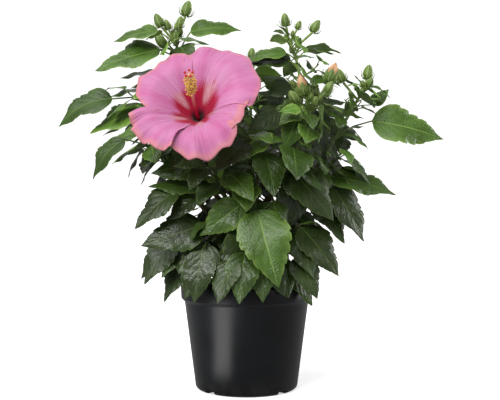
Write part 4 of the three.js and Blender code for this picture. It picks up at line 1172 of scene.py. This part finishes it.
# The open bloom: five broad petals, each lapped over the next one clockwise, round a long column.
bloom = dict(
    throat=Vector((-43.5, -60, 259)), lean=34, turn=10, funnel=33, flare=50, throatRadius=2.5, curl=6,
    curlFrom=40, lap=0.45, thick=0.35, ruffle=1.3, ruffles=17, pleat=1.2, rimWave=0.02, roll=3.2,
    calyxLength=17, bracts=7, stalkFrom=0.8, stalkBend=16,
)
column = dict(
    length=61, radii=(1.75, 1.15), anthers=170, anthersFrom=0.63, anthersOver=0.32, threads=(3.9, 1.9),
    lean=(0.8, 1.6), threadRadii=(0.28, 0.22, 0.2), antherSize=0.95, stigmas=5, stigmaSize=1.25,
)
# Each petal's middle angle, then anticlockwise and clockwise of it: its spread, how round its shoulder is,
# how its reach tapers, and whether its edge lies over the next petal (1) or under it (-1). Blush draws the
# rim's tone inwards. The second petal's side edge rolls up over its neighbour, and the fourth is calm and a
# little lower where it lies under the upper right one.
petals = [
    dict(
        middle=142, spread=(56, 44), reach=62, round=(0.34, 0.24), taper=(0.2, -0.16), lift=0, over=(-1, 1),
        blush=0.04,
    ),
    dict(
        middle=214, spread=(48, 22.5), reach=60, round=(0.14, 0.04), taper=(0, 0), lift=0.5, over=(1, 1),
        blush=0.06, rolled=True,
    ),
    dict(
        middle=290, spread=(46, 40), reach=64.5, round=(0.26, 0.04), taper=(0.16, 0.2), lift=0, over=(1, -1),
        blush=0.06,
    ),
    dict(
        middle=352, spread=(46, 44), reach=51, round=(0.1, 0.12), taper=(0.05, -0.04), lift=-0.8, over=(-1, -1),
        blush=0.16, tucked=True,
    ),
    dict(
        middle=62, spread=(46, 70), reach=70, round=(0.34, 0.1), taper=(-0.1, 0.19), lift=0, over=(-1, 1),
        blush=0,
    ),
]
facing = compass(270 - bloom["turn"], bloom["lean"])
bloomRight = -facing.cross(up).normalized()
bloomUp = facing.cross(bloomRight).normalized()


def bloomSpot(height, radius, angle):
    out = bloomRight * (radius * cos(angle)) + bloomUp * (radius * sin(angle))
    return bloom["throat"] + facing * height + out


def petalSpot(index, t, u):
    # t runs from the throat to the rim and u across the petal, from 1 anticlockwise to -1 clockwise
    petal = petals[index]
    side = 0 if u > 0 else 1
    angle = radians(petal["middle"] + u * petal["spread"][side])
    shoulder = (1 - petal["round"][side] * abs(u) ** 3.5) * (1 - petal["taper"][side] * abs(u) ** 1.5)
    scallop = 1 + bloom["rimWave"] * (sin(u * 7 + index * 1.9) + 0.6 * sin(u * 16 + index * 4.1)) * t * t
    radius = bloom["throatRadius"] + (petal["reach"] - bloom["throatRadius"]) * t * shoulder * scallop
    share = radius / bloom["flare"]
    height = bloom["funnel"] * sin(min(1, share) * pi / 2) + petal["lift"] * min(1, share)
    height -= bloom["curl"] * (max(0, radius - bloom["curlFrom"]) / 20) ** 1.6
    height += bloom["lap"] * petal["over"][side] * u * u * min(1, share * 1.6)
    height += bloom["pleat"] * share * share * (1 - u**4) * sin(u * 9 + index * 2.3)
    ruffle = sin(angle * bloom["ruffles"]) + 0.6 * sin(angle * 31 + 1)
    if "tucked" in petal:
        ruffle *= smoothStep(0.3, -0.15, u)
        height -= 1.1 * share * smoothStep(0.15, 0.6, u)
    height += bloom["ruffle"] * smoothStep(0.72, 1, t) * ruffle
    if "rolled" in petal:
        height += bloom["roll"] * smoothStep(0.7, 0.92, u) * smoothStep(0.45, 0.8, t)
        angle -= 0.1 * smoothStep(0.92, 1, u) * smoothStep(0.45, 0.8, t)
    return bloomSpot(height, radius, angle)


def makePetals(look):
    bm = bmesh.new()
    own = bm.loops.layers.uv.new("own")
    for index, petal in enumerate(petals):
        sheet = bmesh.ops.create_grid(bm, x_segments=34, y_segments=48, size=1)["verts"]
        places = {v: (((v.co.x + 1) / 2) ** 0.85, sin(v.co.y * pi / 2)) for v in sheet}
        for v, (t, u) in places.items():
            v.co = petalSpot(index, t, u)
        for face in {face for v in sheet for face in v.link_faces}:
            for loop in face.loops:
                t, u = places[loop.vert]
                loop[own].uv = (0.5 + 0.5 * u, t * (1 + petal["blush"] * t))
    bmesh.ops.recalc_face_normals(bm, faces=bm.faces)
    piece = finish(bm, "bloom_petals", [look], "petals", "bloom_corolla")
    return applied(piece, "SOLIDIFY", thickness=bloom["thick"] * mm, offset=0)


def makeColumn(columnLook, pollenLook, stigmaLook):
    length = column["length"]
    spine = (bloomSpot(3, 0, 0), bloomSpot(length * 0.5, 1.5, -pi / 2), bloomSpot(length, 4.5, pi / 3))
    threads = [runAlong(spine, *column["radii"], 16)]
    draw = makeRandom(41)
    heads, pads = bmesh.new(), bmesh.new()
    for i in range(column["anthers"]):
        start = along(spine, column["anthersFrom"] + column["anthersOver"] * (i + 0.5) / column["anthers"])
        turn = radians(i * goldenAngle)
        out = bloomRight * cos(turn) + bloomUp * sin(turn)
        end = start + out * spread(draw, *column["threads"]) + facing * spread(draw, *column["lean"])
        threads.append(([start, start.lerp(end, 0.5) + facing * 0.4, end], column["threadRadii"]))
        head = bmesh.ops.create_icosphere(heads, subdivisions=1, radius=column["antherSize"])["verts"]
        bmesh.ops.scale(heads, vec=(1.0, 0.75, 0.7), verts=head)
        swing = Quaternion((draw() - 0.5, draw() - 0.5, draw() - 0.4), draw() * 6).to_matrix()
        bmesh.ops.rotate(heads, cent=(0, 0, 0), matrix=swing, verts=head)
        bmesh.ops.translate(heads, vec=end, verts=head)
    for i in range(column["stigmas"]):
        turn = radians(90 + i * 360 / column["stigmas"])
        out = bloomRight * cos(turn) + bloomUp * sin(turn)
        start = along(spine, 0.97)
        end = start + out * 3.6 + facing * 3.5
        threads.append(runAlong((start, start + facing * 2.5 + out, end), 0.55, 0.45, 5))
        size = column["stigmaSize"]
        ball = bmesh.ops.create_uvsphere(pads, u_segments=14, v_segments=9, radius=size)["verts"]
        bmesh.ops.translate(pads, vec=end, verts=ball)
    finish(addTubes(bmesh.new(), threads, 10), "bloom_column", [columnLook], "petals", "bloom_column")
    finish(heads, "bloom_anthers", [pollenLook], "pollen")
    finish(pads, "bloom_stigmas", [stigmaLook], "petals")


def makeCalyx(look):
    bm = bmesh.new()
    end = -bloom["calyxLength"]
    sepalCup(bm, bloomSpot, end, 8, 9, (end, end + 3, -8, 0, 8), (1.9, 3.6, 5.4, 7.4, 9.4))
    foot = along(boughLimbs["bloom"], bloom["stalkFrom"])
    stalk = (foot, bloomSpot(end - bloom["stalkBend"], 0, 0), bloomSpot(end + 2, 0, 0))
    runs = [runAlong(stalk, 1.5, 1.95, 18)]
    for i in range(bloom["bracts"]):
        angle = 2 * pi * (i + 0.5) / bloom["bracts"]
        bract = [bloomSpot(end + h, r, angle) for h, r in ((2, 2), (3, 8), (13, 10.5))]
        runs.append(runAlong(bract, 0.95, 0.25, 8))
    finish(addTubes(bm, runs, 8), "bloom_calyx", [look], "bracts", "bloom_calyx")


# The looks, one function for each kind of surface.
def plasticLook():
    look, tree, shader = startLook("blackPotPlastic", Specular_IOR_Level=0.26)
    tone = useGroup(tree, patches, Scale=24.0, Tone=colour("07080a"), Other_tone=colour("0d0f12"), Edge=0.2)
    dust = useGroup(tree, patches, Scale=110.0, Tone=(0, 0, 0, 1), Other_tone=(1, 1, 1, 1), Edge=0.1)["Mask"]
    low = times(tree, ramp(tree, split(tree, objectPlace(tree))[2], 0.022, 0.0), times(tree, dust, 0.15))
    base = mixed(tree, low, tone["Color"], colour("4a4641"))
    feed(tree, shader, base, ramp(tree, tone["Mask"], 0, 1, 0.3, 0.36))
    bump(tree, shader, useGroup(tree, grain, Scale=1500.0)["Height"], 0.25, 0.00015)
    return look


def compostLook(name, dark, light, scale):
    look, tree, shader = startLook(name, Specular_IOR_Level=0.2)
    tone = useGroup(tree, patches, Scale=scale, Tone=colour(dark), Other_tone=colour(light), Edge=0.1)
    feed(tree, shader, tone["Color"], ramp(tree, tone["Mask"], 0, 1, 0.95, 0.8))
    bump(tree, shader, useGroup(tree, grain, Scale=700.0, Detail=8.0)["Height"], 0.9, 0.001)
    return look


def barkLook():
    look, tree, shader = startLook("hibiscusBark", Specular_IOR_Level=0.3)
    tone = useGroup(tree, patches, Scale=90.0, Tone=colour("4d4232"), Other_tone=colour("7b6c54"), Edge=0.14)
    green = ramp(tree, split(tree, objectPlace(tree))[2], 0.15, 0.25, 0, 0.75)  # younger bark is greener
    streak = useGroup(tree, grain, Scale=420.0, Stretch=(1, 1, 0.18), Detail=6.0)["Height"]
    base = mixed(tree, green, tone["Color"], colour("5d6b3a"))
    base = mixed(tree, times(tree, ramp(tree, streak, 0.52, 0.36), 0.6), base, colour("2c241a"))
    feed(tree, shader, base, ramp(tree, streak, 0.3, 0.7, 0.9, 0.65))
    bump(tree, shader, streak, 0.8, 0.0006)
    return look


def greenLook(name, tone, other, rough, scale=70.0, high=None):
    # soft skin for shoots, stalks, calyces and ribs of leaves, with another tone high up where one is given
    look, tree, shader = startLook(name, Specular_IOR_Level=0.45)
    shade = useGroup(tree, patches, Scale=scale, Tone=colour(tone), Other_tone=colour(other), Edge=0.15)
    base = shade["Color"]
    if high:
        base = mixed(tree, ramp(tree, split(tree, objectPlace(tree))[2], 0.24, 0.33), base, colour(high))
    feed(tree, shader, base, ramp(tree, shade["Mask"], 0, 1, rough, rough + 0.12))
    bump(tree, shader, useGroup(tree, grain, Scale=1300.0, Stretch=(1, 1, 0.3))["Height"], 0.3, 0.0002)
    return look


def leafLook(name, tone, other, under, rib, rough, margin):
    look, tree, shader = startLook(name, Specular_IOR_Level=0.5)
    shade = useGroup(tree, patches, Scale=38.0, Tone=colour(tone), Other_tone=colour(other), Edge=0.18)
    net = useGroup(tree, veins, Count=6.0, Slant=1.25, Width=0.05)
    small = useGroup(tree, cells, Scale=330.0)["Height"]
    top = mixed(tree, times(tree, net["Mask"], 0.26), shade["Color"], colour(rib))
    top = mixed(tree, ramp(tree, small, 0.25, 0.0, 0, 0.16), top, colour(rib))
    # the pale margin: partly the leaf's own paler rim, partly a painted highlight where light catches the edge
    top = mixed(tree, ramp(tree, net["Across"], 0.62, 1.0, 0, margin), top, colour(rib))
    back = tree.nodes.new("ShaderNodeNewGeometry").outputs["Backfacing"]  # the underside is duller and paler
    rough = ramp(tree, shade["Mask"], 0, 1, rough, rough + 0.1)
    feed(tree, shader, mixed(tree, back, top, colour(under)), rough)
    fine = useGroup(tree, grain, Scale=420.0)["Height"]
    height = plus(tree, times(tree, net["Quilt"], 0.45), times(tree, fine, 0.9))
    bump(tree, shader, plus(tree, height, times(tree, small, 0.24)), 0.42, 0.001)
    return look


def petalLook(name):
    look, tree, shader = startLook(name, Specular_IOR_Level=0.25, Sheen_Weight=0.15, Sheen_Roughness=0.4)
    own = ownMap(tree)
    spot = split(tree, own)
    t, off = spot[1], offMiddle(tree, spot[0])
    drawn = stretched(tree, own, (1, 0.09, 1))
    broad = noiseOf(tree, drawn, 7.0, 3)
    fine = noiseOf(tree, drawn, 34.0, 4, Roughness=0.65)
    net = useGroup(tree, veins, Count=9.0, Width=0.22, Fan=1.0)
    tones = dict(Tone=colour("d08cb8"), Other_tone=colour("cb70a2"))
    body = useGroup(tree, patches, Scale=26.0, Edge=0.3, **tones)["Color"]
    body = mixed(tree, ramp(tree, broad, 0.44, 0.66, 0, 0.5), body, colour("c45893"))
    lines = times(tree, ramp(tree, fine, 0.5, 0.68), ramp(tree, t, 1.0, 0.4, 0.2, 0.45))
    body = mixed(tree, lines, body, colour("bb4d85"))
    pale = times(tree, ramp(tree, off, 0.5, 0.1), ramp(tree, t, 0.75, 0.3, 0, 0.5))
    body = mixed(tree, times(tree, pale, ramp(tree, fine, 0.36, 0.6)), body, colour("e0b0d2"))
    rim = ramp(tree, calc(tree, "MAXIMUM", t, calc(tree, "POWER", off, 6.0)), 0.9, 1.04)
    body = mixed(tree, times(tree, rim, 0.7), body, colour("dd908c"))
    # the red eye runs out unevenly, with pale streaks along the middle of each petal, and darkens in the throat
    wave = useGroup(tree, grain, Scale=160.0)["Height"]
    edge = plus(tree, t, times(tree, calc(tree, "SUBTRACT", wave, 0.5), 0.14))
    eye = ramp(tree, plus(tree, edge, times(tree, off, 0.1)), 0.46, 0.3)
    streak = times(tree, ramp(tree, off, 0.34, 0.12), ramp(tree, fine, 0.36, 0.6, 0.15, 0.85))
    streak = times(tree, streak, ramp(tree, t, 0.1, 0.2))
    body = mixed(tree, eye, body, mixed(tree, streak, colour("ac1038"), colour("e2b4c0")))
    body = mixed(tree, ramp(tree, t, 0.12, 0.03), body, colour("3d0a12"))
    feed(tree, shader, body, ramp(tree, fine, 0.3, 0.7, 0.5, 0.62))
    height = plus(tree, times(tree, broad, 0.8), times(tree, fine, 0.35))
    bump(tree, shader, plus(tree, height, times(tree, net["Quilt"], 0.12)), 0.6, 0.0024)
    return look


def columnLook():
    # red below, paler towards the anthers
    look, tree, shader = startLook("columnSkin", Specular_IOR_Level=0.35)
    inputs = {0: objectPlace(tree), 1: facing}
    out = addNode(tree, "ShaderNodeVectorMath", inputs, operation="DOT_PRODUCT").outputs["Value"]
    start = bloom["throat"].dot(facing) * mm
    high = ramp(tree, out, start + 0.016, start + 0.046)
    tone = useGroup(tree, patches, Scale=300.0, Tone=colour("eeae9c"), Other_tone=colour("f2cc96"), Edge=0.2)
    feed(tree, shader, mixed(tree, high, colour("c02248"), tone["Color"]), ramp(tree, high, 0, 1, 0.45, 0.6))
    return look


stalkGreen = greenLook("stalkGreen", "3b4a24", "56692f", 0.42, 70.0, "86a052")
calyxGreen = greenLook("calyxGreen", "5f7836", "819a4c", 0.5, 160.0)
calyxRib = greenLook("calyxRib", "a3b673", "b6c58c", 0.5, 160.0)
budPeach = greenLook("budPeach", "c98a66", "e2b98a", 0.5, 220.0)
pollenYellow = greenLook("pollenYellow", "f0bb3e", "f7da74", 0.7, 400.0)
stigmaRed = greenLook("stigmaRed", "c81e2c", "e0402f", 0.6, 400.0)
# the margin's paling is partly the leaf's own tint and partly a painted edge highlight
tones = [  # blade, its other tone, underside, rib and edge, roughness, how far the margin pales
    ("leaves_deep", "263417", "374c1e", "4d5a3a", "50652d", 0.27, 0.05),
    ("leaves_dark", "2e4317", "3f5a1f", "59694a", "5f7a35", 0.28, 0.15),
    ("leaves_mid", "3d581c", "517526", "687f4a", "7a9a42", 0.31, 0.45),
    ("leaves_fresh", "56802a", "6d9733", "7f9753", "9aba56", 0.33, 0.6),
    ("leaves_young", "7aa53f", "95bb54", "9fba70", "b7d174", 0.38, 0.6),
]
leafTones = []
for name, tone, other, under, rib, rough, margin in tones:
    ribLook = greenLook(name + "_rib", rib, rib, rough + 0.1)
    leafTones.append((name, [leafLook(name + "_blade", tone, other, under, rib, rough, margin), ribLook]))

makePot(plasticLook())
makeSoil(
    compostLook("darkCompost", "1d140e", "3d2b1e", 260.0), compostLook("barkCrumbs", "2b1d13", "6b4f36", 330.0),
)
makeStem(barkLook())
finish(addTubes(bmesh.new(), stems, wood["shootSides"]), "green_shoots", [stalkGreen], "foliage")
makeLeaves(leafTones)
makeBuds(calyxGreen, calyxRib, budPeach)
makePetals(petalLook("petalPink"))
makeColumn(columnLook(), pollenYellow, stigmaRed)
makeCalyx(calyxGreen)

# The stage: a pale floor, soft light, and the camera.
stage = dict(
    floor=60, bounce=0.18, glow=0.2, floorGlow=0.55, shade=0.22, backdrop=1.15, sun=2.4, sunSpread=70,
    potStrip=5, stripHeading=230, strips=((0.085, 0.13, 0.05), (0.13, 0.22, 0.09), (0.22, 0.5, 0.18)),
    lens=69.4, cameraSpot=(0.0034, -0.95, 0.2), cameraDip=0.9,
)
softboxes = [  # name, energy, width, height, place, what it points at
    ("key", 12, 0.7, 0.7, (-0.75, -1.35, 1.25), (0, 0, 0.2)),
    ("fill", 2, 1.2, 1.2, (1.6, -1.1, 0.7), (0, 0, 0.2)),
    ("rimLight", 6.5, 0.3, 1.1, (1.15, 0.25, 0.5), (0, 0, 0.15)),
    ("back", 5, 1.4, 1.4, (-0.3, 1.7, 1.0), (0, 0, 0.2)),
]
white = (1, 1, 1, 1)
bpy.ops.mesh.primitive_plane_add(size=stage["floor"])
floor = bpy.context.object
floor.name = "floor"
floorLook, tree, shader = startLook("paleFloor", Roughness=0.9, Specular_IOR_Level=0.0, Emission_Color=white)
seen = tree.nodes.new("ShaderNodeLightPath").outputs["Is Camera Ray"]
dull = (stage["bounce"],) * 3 + (1,)
tree.links.new(mixed(tree, seen, dull, (0.97, 0.97, 0.97, 1)), shader["Base Color"])
tree.links.new(seenOr(tree, stage["glow"], stage["floorGlow"]), shader["Emission Strength"])
floor.data.materials.append(floorLook)


def addLamp(light, spot, target=(0, 0, 0.2)):
    lamp = bpy.data.objects.new(light.name, light)
    lamp.location = spot
    lamp.rotation_mode = "QUATERNION"
    lamp.rotation_quaternion = (Vector(target) - Vector(spot)).to_track_quat("-Z", "Y")
    bpy.context.collection.objects.link(lamp)
    return lamp


def softbox(name, energy, wide, tall, *place):
    light = bpy.data.lights.new(name, "AREA")
    light.shape = "RECTANGLE"
    light.energy, light.size, light.size_y = energy, wide, tall
    return addLamp(light, *place)


for row in softboxes:
    softbox(*row)
sun = bpy.data.lights.new("sun", "SUN")
sun.energy, sun.angle = stage["sun"], radians(stage["sunSpread"])
addLamp(sun, (-0.5, -0.5, 1.2))

# low strips of light beside the pot, wider further out, that draw the sheen down the pot alone
potAlone = bpy.data.collections.new("potAlone")
potAlone.objects.link(bpy.data.objects["nursery_pot"])
for near, far, wide in stage["strips"]:
    spot = compass(stage["stripHeading"], 0) * (near + far) / 2 + up * 0.003
    strip = softbox("potStrip", stage["potStrip"] * pi * wide * (far - near), wide, far - near, spot)
    strip.rotation_mode = "XYZ"
    strip.rotation_euler = (pi, 0, radians(stage["stripHeading"] - 270))
    strip.light_linking.receiver_collection = potAlone

# The world lights the plant dimly, and the backdrop behind it is bright.
world = bpy.data.worlds.new("studio")
world.use_nodes = True
tree, back = world.node_tree, world.node_tree.nodes["Background"].inputs
tree.links.new(seenOr(tree, stage["shade"], stage["backdrop"]), back["Strength"])
back["Color"].default_value = white
bpy.context.scene.world = world
bpy.context.scene.view_settings.view_transform = "Standard"

camera = bpy.data.cameras.new("camera")
camera.lens, camera.sensor_width = stage["lens"], 36
viewer = bpy.data.objects.new("camera", camera)
viewer.location = stage["cameraSpot"]
viewer.rotation_euler = (radians(90 - stage["cameraDip"]), 0, 0)
bpy.context.collection.objects.link(viewer)
bpy.context.scene.camera = viewer
print("the stage is set")

bpy.context.view_layer.update()
